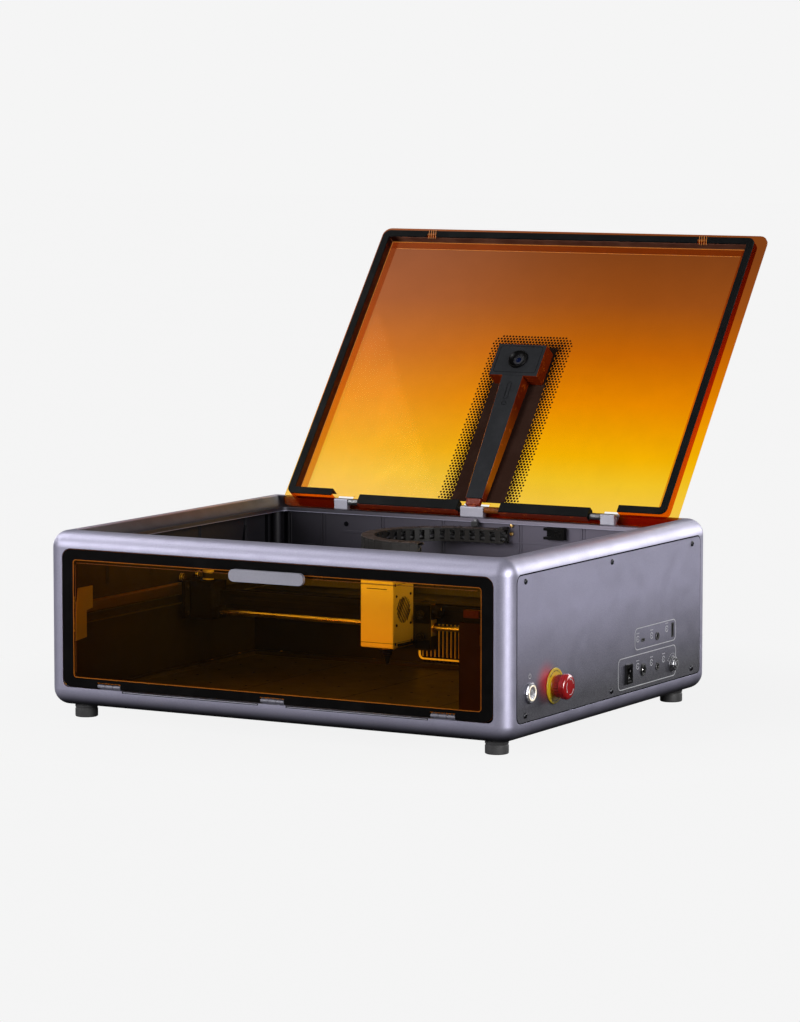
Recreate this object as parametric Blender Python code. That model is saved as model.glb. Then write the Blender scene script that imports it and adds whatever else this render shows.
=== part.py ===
"""Desktop laser cutter: an enclosed case with a lifting lid, a flip-down door and a two-axis laser gantry.

Sizes are in millimetres and become metres when a mesh is made.  The case frame has its origin on the
table under the middle of the case: +X to the control panel, +Y to the back, +Z up.  Everything is built
in that frame with the lid shut.  At the end the lid is opened against its stop and the whole assembly is
shifted so that the origin lies under the middle of its bounding box.
"""

import math

import bmesh
import bpy
from mathutils import Vector

MM = 0.001
GAP = 0.3  # running gap between neighbouring solids

# Case
CASE_X, CASE_Y = 283.8, 234.0  # half width and half depth
CASE_LOW, CASE_TOP = 14.3, 204.0
CASE_ROUND = 18.0
WALL = 4.0
CEILING = 187.0  # underside of the thick rim round the lid opening
LIP = 191.5  # ledge inside the lid opening
LIP_X, LIP_FRONT, LIP_BACK = 248.0, -174.0, 203.5
DISH_SIDE, DISH_FRONT, DISH_ROUND = 15.0, 39.0, 9.0  # how far the sloping rim runs out above the ledge
BOTTOM_X, BOTTOM_Y = 236.0, 188.0  # opening under the bottom cover
STEP_BACK = 219.0  # vertical step behind the lid hinge
FOOT_X, FOOT_Y, FOOT_R = 253.0, 205.0, 12.4

# Work chamber
LEFT_WALL, RIGHT_WALL, REAR_WALL = -263.0, 248.3, 206.3
CHAMBER_FRONT, CHAMBER_LOW = -223.0, 20.6
SHEET = 2.5
BED_TOP = 23.0
DUCT_FRONT, DUCT_TOP = 160.0, 100.0

# Front door, hinged along its lower edge
DOOR_X, DOOR_LOW, DOOR_HIGH = 263.5, 36.2, 185.4
DOOR_AXIS, DOOR_BACK = (0.0, -232.2, 38.5), -229.6
WINDOW_X, WINDOW_LOW, WINDOW_HIGH = 250.5, 46.0, 174.8
HANDLE_FRONT, HANDLE_X, HANDLE_LOW, HANDLE_HIGH, HANDLE_POST = -246.0, 45.5, 164.5, 177.5, 32.0
DOOR_HINGES = {"left": -205.0, "centre": 0.0, "right": 205.0}

# Lid, drawn shut round its hinge axis: local y runs to the back, local z up
LID_AXIS = (0.0, 208.4, 200.9)
LID_OPEN = 127.97  # degrees from shut to its stop
LID_X, LID_BACK, LID_LENGTH = 254.45, 5.74, 397.6
LID_UNDER, LID_THICK = 3.0, 3.0
RIM_X, RIM_BACK, RIM_FRONT = 245.15, -3.06, -380.66
RIM_REAR_END = 185.0  # the rim stops here on both sides of the hinge
BLOCK_INNER, BLOCK_OUTER, BLOCK_MIDDLE = 164.0, 181.0, 14.5
ARM_START, ARM_NECK, ARM_END, ARM_DEEP, LENS_AT = 17.0, 180.0, 223.0, 19.0, 202.0  # from the lid's rear edge
PIN_R = 2.2

# Motion system
RAIL_Z, RAIL_HIGH = 112.3, 12.0
BELT_Z, SHAFT_Y, IDLER_Y, PULLEY_R = 106.0, 192.0, -212.0, 4.5
BEAM_LOW, BEAM_HIGH, BEAM_FRONT, BEAM_BACK = 96.0, 116.0, 15.0, 32.4
ROD_Y, ROD_Z, ROD_R = 4.0, 93.0, 3.0
X_PULLEY = (-235.0, 15.5)
X_IDLER_X = 222.0
CARRIAGE_X0, CARRIAGE_X1 = -22.0, 62.0
HEAD_X0, HEAD_X1, HEAD_FRONT, HEAD_BACK, HEAD_LOW, HEAD_HIGH = 0.0, 41.0, -48.0, -2.3, 74.0, 148.5
NOZZLE_X, NOZZLE_Y, NOZZLE_TIP = 20.5, -25.0, 54.4
VENT_Y, VENT_Z = -25.0, 115.0
KNOB_Y, KNOB_Z = 3.0, 111.0
CHAIN_X, CHAIN_Y, CHAIN_R, CHAIN_HALF = 8.0, 116.0, 81.0, 7.5
CHAIN_LOW, CHAIN_HIGH, CHAIN_FIXED_X, CHAIN_MOVING_X = 165.6, 183.8, 48.0, 28.0
EXHAUST_X, EXHAUST_Z, EXHAUST_HOLE = 150.0, 60.0, 36.6

# Control panel on the right side: (y, z) of each control
PANEL_FACE, PANEL_THICK = 283.7, 2.0
PANEL = (-219.1, 213.1, 33.75, 186.4)
POWER_AT, ESTOP_AT, KEY_AT = (-191.0, 63.3), (-137.2, 63.8), (144.3, 51.7)
ROCKER_AT, ROCKER_TILT = (34.1, 54.3), 8.0
BOARD_X, BOARD_THICK = 266.0, 1.6
DC_AT, JACKS_AT = (71.4, 54.1), ((105.6, 86.8), (106.2, 53.5))
USB_AT, CARD_AT = (70.8, 86.7), (144.0, 89.2)

MATERIALS = {
    "case": ((0.30, 0.29, 0.36), 0.38, 0.55),
    "dark_liner": ((0.07, 0.07, 0.09), 0.5, 0.3),
    "black": ((0.012, 0.012, 0.014), 0.45, 0.0),
    "rubber": ((0.02, 0.02, 0.022), 0.8, 0.0),
    "amber": ((0.85, 0.30, 0.01), 0.08, 0.0),
    "steel": ((0.6, 0.6, 0.62), 0.25, 1.0),
    "silver": ((0.45, 0.44, 0.50), 0.35, 0.6),
    "yellow": ((0.85, 0.6, 0.05), 0.5, 0.0),
    "red": ((0.7, 0.02, 0.02), 0.35, 0.0),
    "board": ((0.01, 0.09, 0.04), 0.5, 0.0),
}


# ---------------------------------------------------------------- helpers
def material(slot):
    """The shared Principled material of a slot."""
    found = bpy.data.materials.get(slot)
    if found:
        return found
    colour, roughness, metallic = MATERIALS[slot]
    made = bpy.data.materials.new(slot)
    made.use_nodes = True
    shader = made.node_tree.nodes["Principled BSDF"]
    shader.inputs["Base Color"].default_value = (*colour, 1.0)
    shader.inputs["Roughness"].default_value = roughness
    shader.inputs["Metallic"].default_value = metallic
    return made


def pivot(name, at, parent=None):
    """An empty on a joint's axis; at is in the case frame."""
    empty = bpy.data.objects.new(name, None)
    bpy.context.collection.objects.link(empty)
    empty["at"] = at
    hang(empty, at, parent)
    return empty


def hang(obj, at, parent):
    """Place obj at a point of the case frame, under a parent empty."""
    base = Vector(parent["at"]) if parent else Vector((0, 0, 0))
    obj.parent = parent
    obj.location = (Vector(at) - base) * MM


def middle_of(rings):
    """The middle of the box round some rings of points."""
    points = [Vector(point) for ring in rings for point in ring]
    low = Vector([min(p[i] for p in points) for i in range(3)])
    high = Vector([max(p[i] for p in points) for i in range(3)])
    return (low + high) / 2


def skin(name, rings, slot="black", parent=None, closed=False, at=None):
    """A closed body over rings of points with equal counts; closed joins the last ring to the first."""
    middle = Vector(at) if at else middle_of(rings)
    bm = bmesh.new()
    loops = [[bm.verts.new((Vector(point) - middle) * MM) for point in ring] for ring in rings]
    pairs = list(zip(loops, loops[1:]))
    if closed:
        pairs.append((loops[-1], loops[0]))
    for one, two in pairs:
        bridge(bm, one, two)
    if not closed:
        for loop in (loops[0], loops[-1]):
            if len(loop) > 2:
                bm.faces.new(loop)
    bmesh.ops.recalc_face_normals(bm, faces=bm.faces)
    mesh = bpy.data.meshes.new(name)
    bm.to_mesh(mesh)
    bm.free()
    return finish(name, mesh, slot, tuple(middle), parent)


def bridge(bm, one, two):
    """Faces between two loops, where either may be a single point."""
    count = max(len(one), len(two))
    for i in range(count):
        j = (i + 1) % count
        corners = [one[i % len(one)], one[j % len(one)], two[j % len(two)], two[i % len(two)]]
        kept = []
        for corner in corners:
            if corner not in kept:
                kept.append(corner)
        bm.faces.new(kept)


def finish(name, mesh, slot, at, parent):
    """An object for a mesh, shaded smooth with sharp edges kept."""
    obj = bpy.data.objects.new(name, mesh)
    bpy.context.collection.objects.link(obj)
    mesh.materials.append(material(slot))
    mesh.shade_smooth()
    mesh.set_sharp_from_angle(angle=math.radians(35))
    hang(obj, at, parent)
    return obj


def box(name, low, high, slot="black", parent=None, bevel=0.0, along="xyz", segments=2):
    """A block between two corners, with the edges along the named axes rounded."""
    low, high = Vector(low), Vector(high)
    bm = bmesh.new()
    bmesh.ops.create_cube(bm, size=1.0)
    for vert in bm.verts:
        vert.co = Vector([vert.co[i] * (high[i] - low[i]) * MM for i in range(3)])
    if bevel:
        axes = ["xyz".index(letter) for letter in along]
        chosen = [e for e in bm.edges if main_axis(e) in axes]
        bmesh.ops.bevel(bm, geom=chosen, offset=bevel * MM, segments=segments, affect="EDGES", profile=0.5)
    mesh = bpy.data.meshes.new(name)
    bm.to_mesh(mesh)
    bm.free()
    return finish(name, mesh, slot, tuple((low + high) / 2), parent)


def main_axis(edge):
    """The axis that an edge of a block runs along."""
    run = edge.verts[1].co - edge.verts[0].co
    return max(range(3), key=lambda i: abs(run[i]))


def to_axis(axis, across, up, along):
    """A point from two coordinates in a plane and one along the plane's normal."""
    if axis == "x":
        return (along, across, up)
    if axis == "y":
        return (across, along, up)
    return (across, up, along)


def prism(name, outline, axis, low, high, slot="black", parent=None):
    """An outline extruded along an axis."""
    rings = [[to_axis(axis, u, v, w) for u, v in outline] for w in (low, high)]
    return skin(name, rings, slot, parent)


def frame_ring(name, outer, inner, axis, low, high, slot="black", parent=None):
    """A flat ring between two outlines with equal counts of points."""
    order = ((outer, low), (outer, high), (inner, high), (inner, low))
    rings = [[to_axis(axis, u, v, w) for u, v in outline] for outline, w in order]
    return skin(name, rings, slot, parent, closed=True)


def rounded(u0, u1, v0, v1, radius, steps=4):
    """A rectangle with rounded corners."""
    corners = ((u1, v1, 0), (u0, v1, 90), (u0, v0, 180), (u1, v0, 270))
    points = []
    for u, v, start in corners:
        centre_u = u - math.copysign(radius, u - (u0 + u1) / 2)
        centre_v = v - math.copysign(radius, v - (v0 + v1) / 2)
        for i in range(steps + 1):
            turn = math.radians(start + 90 * i / steps)
            points.append((centre_u + radius * math.cos(turn), centre_v + radius * math.sin(turn)))
    return points


def circle(centre, radius, steps=16):
    """Points round a circle."""
    turns = [math.tau * i / steps for i in range(steps)]
    return [(centre[0] + radius * math.cos(t), centre[1] + radius * math.sin(t)) for t in turns]


def turned(name, axis, centre, profile, slot="steel", parent=None, steps=16, hollow=False):
    """A lathe shape: profile is (radius, along) pairs, from one end of the axis to the other."""
    rings = []
    for radius, along in profile:
        if radius == 0:
            rings.append([to_axis(axis, centre[0], centre[1], along)])
        else:
            rings.append([to_axis(axis, u, v, along) for u, v in circle(centre, radius, steps)])
    alongs = [along for _, along in profile]
    middle = to_axis(axis, centre[0], centre[1], (min(alongs) + max(alongs)) / 2)
    return skin(name, rings, slot, parent, closed=hollow, at=middle)


def rod(name, axis, centre, radius, low, high, slot="steel", parent=None, steps=16):
    """A plain cylinder."""
    return turned(name, axis, centre, [(radius, low), (radius, high)], slot, parent, steps)


def combine(obj, tools, operation):
    """Apply exact Booleans with each tool, and remove the tools."""
    for tool in tools:
        change = obj.modifiers.new("shape", "BOOLEAN")
        change.operation = operation
        change.solver = "EXACT"
        change.object = tool
    bpy.context.view_layer.update()
    depsgraph = bpy.context.evaluated_depsgraph_get()
    mesh = bpy.data.meshes.new_from_object(obj.evaluated_get(depsgraph))
    mesh.name = obj.name
    obj.modifiers.clear()
    obj.data = mesh
    for tool in tools:
        bpy.data.objects.remove(tool)
    mesh.shade_smooth()
    mesh.set_sharp_from_angle(angle=math.radians(35))
    return obj


def cut(obj, *tools):
    """Take the tools away from obj."""
    return combine(obj, tools, "DIFFERENCE")


def weld(obj, *tools):
    """Add the tools to obj."""
    return combine(obj, tools, "UNION")


# ---------------------------------------------------------------- case
def case_shell(root):
    """The rounded outer case with its lid, door, panel, exhaust and bottom openings."""
    shell = box("case_shell", (-CASE_X, -CASE_Y, CASE_LOW), (CASE_X, CASE_Y, CASE_TOP), "case", root,
                CASE_ROUND, segments=4)
    inner_x, inner_y = CASE_X - WALL, CASE_Y - WALL
    inner_round = CASE_ROUND - WALL
    cavity_rings = []
    for step in range(5):
        turn = math.radians(22.5 * step)
        inset = inner_round * (1 - math.sin(turn))
        outline = rounded(-inner_x + inset, inner_x - inset, -inner_y + inset, inner_y - inset,
                          max(inner_round - inset, 1))
        cavity_rings.append([(x, y, CASE_LOW + WALL + inner_round * (1 - math.cos(turn))) for x, y in outline])
    cavity_rings.append([(x, y, CEILING) for x, y, _ in cavity_rings[-1]])
    cavity = skin("cavity", cavity_rings)
    rise = CASE_TOP + 0.6 - LIP
    dish_rings = []
    for part in (0.0, 0.35, 0.7, 1.0):
        reach = LIP_X + 1.5 + DISH_SIDE * part
        outline = rounded(-reach, reach, LIP_FRONT - 1.5 - DISH_FRONT * part, STEP_BACK, DISH_ROUND)
        dish_rings.append([(x, y, LIP + rise * part ** 1.5) for x, y in outline])
    dish = skin("dish", dish_rings)
    opening = prism("opening", rounded(-LIP_X, LIP_X, LIP_FRONT, LIP_BACK, 8), "z", CEILING - 6, LIP + 2)
    door_hole = prism("door_hole", rounded(-DOOR_X - 0.8, DOOR_X + 0.8, DOOR_LOW - 1.2, DOOR_HIGH + 0.8, 11),
                      "y", -CASE_Y - 6, -CASE_Y + 5)
    door_corners = prism("door_corners", rounded(-DOOR_X - 0.8, DOOR_X + 0.8, DOOR_LOW - 1.2, DOOR_LOW + 30, 7),
                         "y", -CASE_Y - 6, -CASE_Y + 5)
    y0, y1, z0, z1 = PANEL
    rebate = prism("rebate", rounded(y0 - 0.4, y1 + 0.4, z0 - 0.4, z1 + 0.4, 8), "x", CASE_X - 2.5, CASE_X + 6)
    panel_hole = prism("panel_hole", rounded(y0 + 7, y1 - 7, z0 + 7, z1 - 7, 6), "x", CASE_X - 9, CASE_X)
    exhaust = rod("exhaust_hole", "y", (EXHAUST_X, EXHAUST_Z), EXHAUST_HOLE, CASE_Y - 10, CASE_Y + 6, steps=24)
    bottom = box("bottom", (-BOTTOM_X, -BOTTOM_Y, CASE_LOW - 5), (BOTTOM_X, BOTTOM_Y, CASE_LOW + WALL + 2))
    return cut(shell, cavity, dish, opening, door_hole, door_corners, rebate, panel_hole, exhaust, bottom)


def base_and_feet(root):
    """The bottom cover plate and the four rubber feet."""
    x, y, low = BOTTOM_X + 4, BOTTOM_Y + 4, CASE_LOW + WALL + GAP
    box("base_plate", (-x, -y, low), (x, y, low + 1.6), "dark_liner", root, 6, "z")
    top = CASE_LOW - GAP
    profile = [(0, 0), (FOOT_R - 1, 0), (FOOT_R, 1.2), (FOOT_R, top - 1.5), (FOOT_R - 1, top), (0, top)]
    for side, x in (("left", -FOOT_X), ("right", FOOT_X)):
        for end, y in (("front", -FOOT_Y), ("rear", FOOT_Y)):
            turned(f"foot_{end}_{side}", "z", (x, y), profile, "rubber", root, 20)


def chamber(root):
    """The liner walls, the work bed and the exhaust duct with its slotted grille."""
    front, low, high = CHAMBER_FRONT, CHAMBER_LOW, CEILING - 0.4
    outside = (LEFT_WALL - SHEET, RIGHT_WALL + SHEET, REAR_WALL + SHEET)
    outline = [(outside[0], front), (LEFT_WALL, front), (LEFT_WALL, REAR_WALL), (RIGHT_WALL, REAR_WALL),
               (RIGHT_WALL, front), (outside[1], front), (outside[1], outside[2]), (outside[0], outside[2])]
    liner = prism("chamber_liner", outline, "z", low, high, "dark_liner", root)
    weld(liner, rod("axle", "x", (IDLER_Y, BELT_Z), 1.5, LEFT_WALL - 1, LEFT_WALL + 6.5, steps=12),
         rod("axle", "x", (IDLER_Y, BELT_Z), 1.5, RIGHT_WALL - 6.5, RIGHT_WALL + 1, steps=12))
    cut(liner, rod("bore", "x", (SHAFT_Y, BELT_Z), 3.2, LEFT_WALL - 6, LEFT_WALL + 3, steps=16),
        rod("bore", "x", (SHAFT_Y, BELT_Z), 3.2, RIGHT_WALL - 3, RIGHT_WALL + 6, steps=16),
        rod("bore", "y", (EXHAUST_X, EXHAUST_Z), EXHAUST_HOLE, REAR_WALL - 3, REAR_WALL + 6, steps=24))

    bed = box("work_bed", (LEFT_WALL + 0.6, front, low), (RIGHT_WALL - 0.7, DUCT_FRONT - 0.6, BED_TOP + 5),
              "dark_liner", root)
    cut(bed, box("tray", (LEFT_WALL + 4, front + 4, BED_TOP), (RIGHT_WALL - 4, DUCT_FRONT - 4, BED_TOP + 9)))

    back, inner = REAR_WALL - 0.5, DUCT_FRONT + 2
    outline = [(DUCT_FRONT, low), (inner, low), (inner, DUCT_TOP - 2), (back, DUCT_TOP - 2),
               (back, DUCT_TOP), (DUCT_FRONT, DUCT_TOP)]
    duct = prism("exhaust_duct", outline, "x", LEFT_WALL + 0.4, RIGHT_WALL - 0.4, "dark_liner", root)
    tall = [box("slot", (x - 1.5, DUCT_FRONT - 2, 29), (x + 1.5, inner + 2, 86))
            for x in [-36 + 5.4 * i for i in range(13)]]
    short = [box("slot", (x - 1.3, DUCT_FRONT - 2, 92.4), (x + 1.3, inner + 2, 96))
             for x in [-20 + 5.4 * i for i in range(11)]]
    cut(duct, *tall, *short)


def exhaust(root):
    """The hose flange with its fan carrier, and the fan rotor."""
    centre = (EXHAUST_X, EXHAUST_Z)
    face = CASE_Y + GAP
    profile = [(33, REAR_WALL), (35.4, REAR_WALL), (35.4, face), (45, face), (45, face + 3), (35.4, face + 3),
               (35.4, face + 20), (33, face + 20)]
    flange = turned("exhaust_flange", "y", centre, profile, "black", root, 24, hollow=True)
    x, z = centre
    weld(flange, rod("motor", "y", centre, 10, 226, 233), box("spoke", (x - 34, 228, z - 2), (x + 34, 231, z + 2)),
         box("spoke", (x - 2, 228, z - 34), (x + 2, 231, z + 34)))
    hub = pivot("exhaust_fan_axis", (x, 218, z), root)
    fan("exhaust_fan_rotor", "y", centre, 212, 225, 11, 31, 7, hub)


def fan(name, axis, centre, low, high, hub_r, tip_r, blades, parent):
    """A rotor with twisted blades: a star outline lofted with a quarter-blade turn."""
    rings = []
    for along, lead in ((low, -10), (high, 10)):
        ring = []
        for blade in range(blades):
            middle = 360 * blade / blades + lead
            for turn, radius in ((-9, hub_r), (-4, tip_r), (4, tip_r), (9, hub_r)):
                angle = math.radians(middle + turn)
                u, v = centre[0] + radius * math.cos(angle), centre[1] + radius * math.sin(angle)
                ring.append(to_axis(axis, u, v, along))
        rings.append(ring)
    middle = to_axis(axis, centre[0], centre[1], (low + high) / 2)
    return skin(name, rings, "black", parent, at=middle)


# ---------------------------------------------------------------- control panel
def control_panel(root):
    """The right side panel with its cut-outs, and the board with the sockets behind it."""
    y0, y1, z0, z1 = PANEL
    back = PANEL_FACE - PANEL_THICK
    panel = prism("side_panel", rounded(y0, y1, z0, z1, 7.5), "x", back, PANEL_FACE, "case", root)
    holes = [(POWER_AT, 10.0), (ESTOP_AT, 11.3), (KEY_AT, 6.5), (DC_AT, 5.1)]
    holes += [(at, 4.7) for at in JACKS_AT]
    tools = [rod("hole", "x", at, radius, back - 2, PANEL_FACE + 2) for at, radius in holes]
    y, z = ROCKER_AT
    tools.append(box("hole", (back - 2, y - 6.3, z - 9.6), (PANEL_FACE + 2, y + 6.3, z + 9.6)))
    y, z = USB_AT
    tools.append(box("hole", (back - 2, y - 4.8, z - 2), (PANEL_FACE + 2, y + 4.8, z + 2), bevel=1.8, along="x"))
    y, z = CARD_AT
    tools.append(box("hole", (back - 2, y - 3.4, z - 8.2), (PANEL_FACE + 2, y + 3.4, z + 8.2)))
    cut(panel, *tools)

    plane = BOARD_X
    board = box("control_board", (plane, -90, 30), (plane + BOARD_THICK, 165, 175), "board", root)
    cut(board, box("hole", (plane - 3, ROCKER_AT[0] - 9, 38), (plane + 4, ROCKER_AT[0] + 9, 70)),
        rod("hole", "x", KEY_AT, 9, plane - 3, plane + 4))
    parts = [rod("jack", "x", at, 4.3, plane + 1, PANEL_FACE + 0.5) for at in JACKS_AT]
    y, z = USB_AT
    parts.append(box("usb", (plane + 1, y - 4.4, z - 1.6), (PANEL_FACE, y + 4.4, z + 1.6), bevel=1.4, along="x"))
    y, z = CARD_AT
    parts.append(box("card", (plane + 1, y - 3, z - 7.8), (PANEL_FACE, y + 3, z + 7.8)))
    for y, z, width, height, proud in ((-20, 120, 40, 40, 3), (60, 130, 16, 16, 2), (110, 140, 30, 18, 9)):
        parts.append(box("chip", (plane - proud, y - width / 2, z - height / 2), (plane + 0.5, y + width / 2,
                                                                                  z + height / 2)))
    weld(board, *parts)
    y, z = USB_AT
    mouths = [box("mouth", (PANEL_FACE - 6, y - 3.6, z - 0.9), (PANEL_FACE + 1, y + 3.6, z + 0.9))]
    mouths += [rod("mouth", "x", at, 1.9, PANEL_FACE - 9, PANEL_FACE + 2, steps=16) for at in JACKS_AT]
    y, z = CARD_AT
    mouths.append(box("mouth", (PANEL_FACE - 8, y - 1.1, z - 6.4), (PANEL_FACE + 1, y + 1.1, z + 6.4)))
    cut(board, *mouths)
    start = plane + BOARD_THICK + GAP
    turned("dc_inlet", "x", DC_AT, [(0, start), (4.8, start), (4.8, 284.5), (3.1, 284.5), (3.1, 275), (1.1, 275),
                                    (1.1, 283.4), (0, 283.4)], "black", root)


def panel_controls(root):
    """Power button, emergency stop, rocker switch and key switch."""
    face = CASE_X + GAP
    y, z = POWER_AT
    turned("power_button_bezel", "x", POWER_AT, [(8.8, 274), (9.7, 274), (9.7, face), (10.7, face),
                                                 (10.7, face + 1.6), (10.1, face + 2.2), (8.8, face + 2.2)],
           "silver", root, hollow=True)
    press = pivot("power_button_axis", (286.8, y, z), root)
    turned("power_button_cap", "x", POWER_AT, [(0, 276), (8.5, 276), (8.5, 286.4), (8.1, 286.9), (0, 287.1)],
           "silver", press)

    y, z = ESTOP_AT
    turned("estop_base", "x", ESTOP_AT, [(4.5, 258), (10.9, 258), (10.9, face), (18.75, face), (18.75, face + 1.5),
                                         (11.2, face + 1.5), (10.4, 290.8), (4.5, 290.8)],
           "yellow", root, 24, hollow=True)
    slide = pivot("estop_press_axis", (296, y, z), root)
    rod("estop_stem", "x", ESTOP_AT, 4.1, 256, 298.8, "black", slide, 20)
    twist = pivot("estop_twist_axis", (296, y, z), slide)
    turned("estop_cap", "x", ESTOP_AT, [(0, 299.1), (4.5, 299.1), (4.5, 294.8), (12.6, 294.8), (13.5, 296),
                                        (13.5, 299.4), (11.6, 302), (0, 302.8)], "red", twist, 24)

    y, z = ROCKER_AT
    housing = box("rocker_housing", (face, y - 7.4, z - 10.7), (face + 2.2, y + 7.4, z + 10.7), "black", root,
                  1.2, "x")
    weld(housing, box("neck", (272, y - 6, z - 9.3), (face + 1, y + 6, z + 9.3)))
    cut(housing, box("pocket", (274, y - 4.6, z - 7.9), (face + 6, y + 4.6, z + 7.9)))
    tilt = pivot("rocker_axis", (281.0, y, z), root)
    outline = [(276.6, z - 3.2), (286.9, z - 6.9), (285.2, z), (286.9, z + 6.9), (276.6, z + 3.2)]
    skin("rocker", [[(x, y + side * 4.2, up) for x, up in outline] for side in (-1, 1)], "black", tilt)
    tilt.rotation_euler = (0, math.radians(ROCKER_TILT), 0)

    turned("key_barrel", "x", KEY_AT, [(4.7, 270), (6.2, 270), (6.2, face), (7.1, face), (7.1, 287.6), (6.3, 288.6),
                                       (4.7, 288.6)], "steel", root, hollow=True)
    turn = pivot("key_axis", (280, *KEY_AT), root)
    rotor = turned("key_rotor", "x", KEY_AT, [(0, 270.5), (4.4, 270.5), (4.4, 289.2), (4.0, 289.6), (0, 289.6)],
                   "steel", turn)
    y, z = KEY_AT
    cut(rotor, box("keyway", (284, y - 0.7, z - 3), (292, y + 0.7, z + 3)))


# ---------------------------------------------------------------- front door
def front_door(root):
    """The door frame, its window and handle, and the knuckles it turns on."""
    axis = pivot("door_axis", DOOR_AXIS, root)
    face, back = -CASE_Y, DOOR_BACK
    frame = frame_ring("door_frame", rounded(-DOOR_X, DOOR_X, DOOR_LOW, DOOR_HIGH, 10),
                       rounded(-WINDOW_X, WINDOW_X, WINDOW_LOW, WINDOW_HIGH, 4), "y", face, back, "black", axis)
    _, axis_y, axis_z = DOOR_AXIS
    cut(frame, *[box("notch", (x - 15, face - 2, DOOR_LOW - 3), (x + 15, back + 2, axis_z + 4))
                 for x in DOOR_HINGES.values()])
    prism("door_window", rounded(-WINDOW_X + GAP, WINDOW_X - GAP, WINDOW_LOW + GAP, WINDOW_HIGH - GAP, 3.7), "y",
          face + 0.4, back - 1.0, "amber", axis)
    handle = prism("door_handle", rounded(-HANDLE_X, HANDLE_X, HANDLE_LOW, HANDLE_HIGH, 5.5), "y", HANDLE_FRONT,
                   HANDLE_FRONT + 4.5, "silver", axis)
    middle = (HANDLE_LOW + HANDLE_HIGH) / 2
    weld(handle, *[rod("post", "y", (side * HANDLE_POST, middle), 3.5, HANDLE_FRONT + 3, face + 0.1)
                   for side in (-1, 1)])
    for side, x in DOOR_HINGES.items():
        knuckle = rod(f"door_hinge_{side}", "x", (axis_y, axis_z), 2.0, x - 14.4, x + 14.4, "case", root, 16)
        weld(knuckle, box("web", (x - 14.2, axis_y, axis_z - 1.8), (x + 14.2, -225.2, axis_z + 0.6)),
             box("leaf", (x - 14.2, -229.2, axis_z - 9), (x + 14.2, -225.2, axis_z + 0.2)))


# ---------------------------------------------------------------- lid
def lid(root):
    """The transparent lid with its rim, hinge and camera arm, drawn shut."""
    axis = pivot("lid_axis", LID_AXIS, root)
    _, ay, az = LID_AXIS
    rear, front = ay + LID_BACK, ay + LID_BACK - LID_LENGTH
    low = az + LID_UNDER
    pane = prism("lid_pane", rounded(-LID_X, LID_X, front, rear, 10), "z", low, low + LID_THICK, "amber", axis)
    notch_back, notch_front = rear + 5, rear - 16.5
    spans = ((-BLOCK_OUTER - 2.5, -BLOCK_INNER + 2), (-17, 17), (BLOCK_INNER - 2, BLOCK_OUTER + 2.5))
    cut(pane, *[box("notch", (a, notch_front, low - 2), (b, notch_back, low + 6)) for a, b in spans])

    def strip(name, width, bottom, top, slot):
        outer = rounded(-RIM_X, RIM_X, ay + RIM_FRONT, ay + RIM_BACK, 8)
        inner = rounded(-RIM_X + width, RIM_X - width, ay + RIM_FRONT + width, ay + RIM_BACK - width,
                        max(8 - width, 1.5))
        ring = frame_ring(name, outer, inner, "z", bottom, top, slot, axis)
        cut(ring, box("gap", (-RIM_REAR_END, ay - 30, bottom - 4), (RIM_REAR_END, ay + 20, top + 4)))
        return ring

    strip("lid_rim", 2.5, low - 10.2, low - GAP, "amber")
    frame = strip("lid_frame", 8.6, low - 12.0, low - 10.5, "black")
    inner_front = ay + RIM_FRONT + 8.6
    cut(frame, *[box("notch", (side * 179 - 6, inner_front - 5, az - 20), (side * 179 + 6, inner_front + 4, az + 5))
                 for side in (-1, 1)])

    for side, sign in (("left", -1), ("right", 1)):
        a, b = sorted((sign * 36.0, sign * 149.0))
        bar = box(f"lid_hinge_bar_{side}", (a, rear - 14, low - 9.5), (b, rear - 0.3, low - GAP), "black", axis,
                  1.2, "x", 1)
        groove = PIN_R + GAP
        cut(bar, rod("groove", "x", (ay, az), groove, a - 5, b + 5, steps=16),
            box("groove", (a - 5, ay - groove, az), (b + 5, ay + groove, low + 4)))
    pin_end = BLOCK_OUTER - 0.5
    rod("lid_hinge_pin", "x", (ay, az), PIN_R, -pin_end, pin_end, "steel", axis, 16)
    for side, x0, x1 in (("left", -BLOCK_OUTER, -BLOCK_INNER), ("centre", -BLOCK_MIDDLE, BLOCK_MIDDLE),
                         ("right", BLOCK_INNER, BLOCK_OUTER)):
        block = box(f"lid_hinge_block_{side}", (x0, ay - 4, LIP + GAP), (x1, ay + 4, az + 3.6), "case", root,
                    1.5, "x")
        cut(block, rod("bore", "x", (ay, az), PIN_R + GAP, x0 - 3, x1 + 3, steps=16))

    start, neck, end = rear - ARM_START, rear - ARM_NECK, rear - ARM_END
    outline = [(-10.5, start), (-13.5, neck), (-31, neck), (-31, end), (31, end), (31, neck), (13.5, neck),
               (10.5, start)]
    bottoms = [low - 10 if y == start else low - ARM_DEEP for _, y in outline]
    rings = [[(x, y, z) for (x, y), z in zip(outline, bottoms)], [(x, y, low - GAP) for x, y in outline]]
    arm = skin("camera_arm", rings, "black", axis)
    cut(arm, box("slot", (-3.5, rear - 179, low - 24), (3.5, rear - 161, low - 14), bevel=3.4, along="z"))
    face = low - ARM_DEEP
    turned("camera_lens", "z", (0, rear - LENS_AT), [(0, face - 1.6), (7.5, face - 1.6), (8.5, face - 2.3),
                                                     (11.4, face - 2.3), (12, face - 1.4), (12, face - GAP),
                                                     (0, face - GAP)], "black", axis, 20)
    return axis


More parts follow.
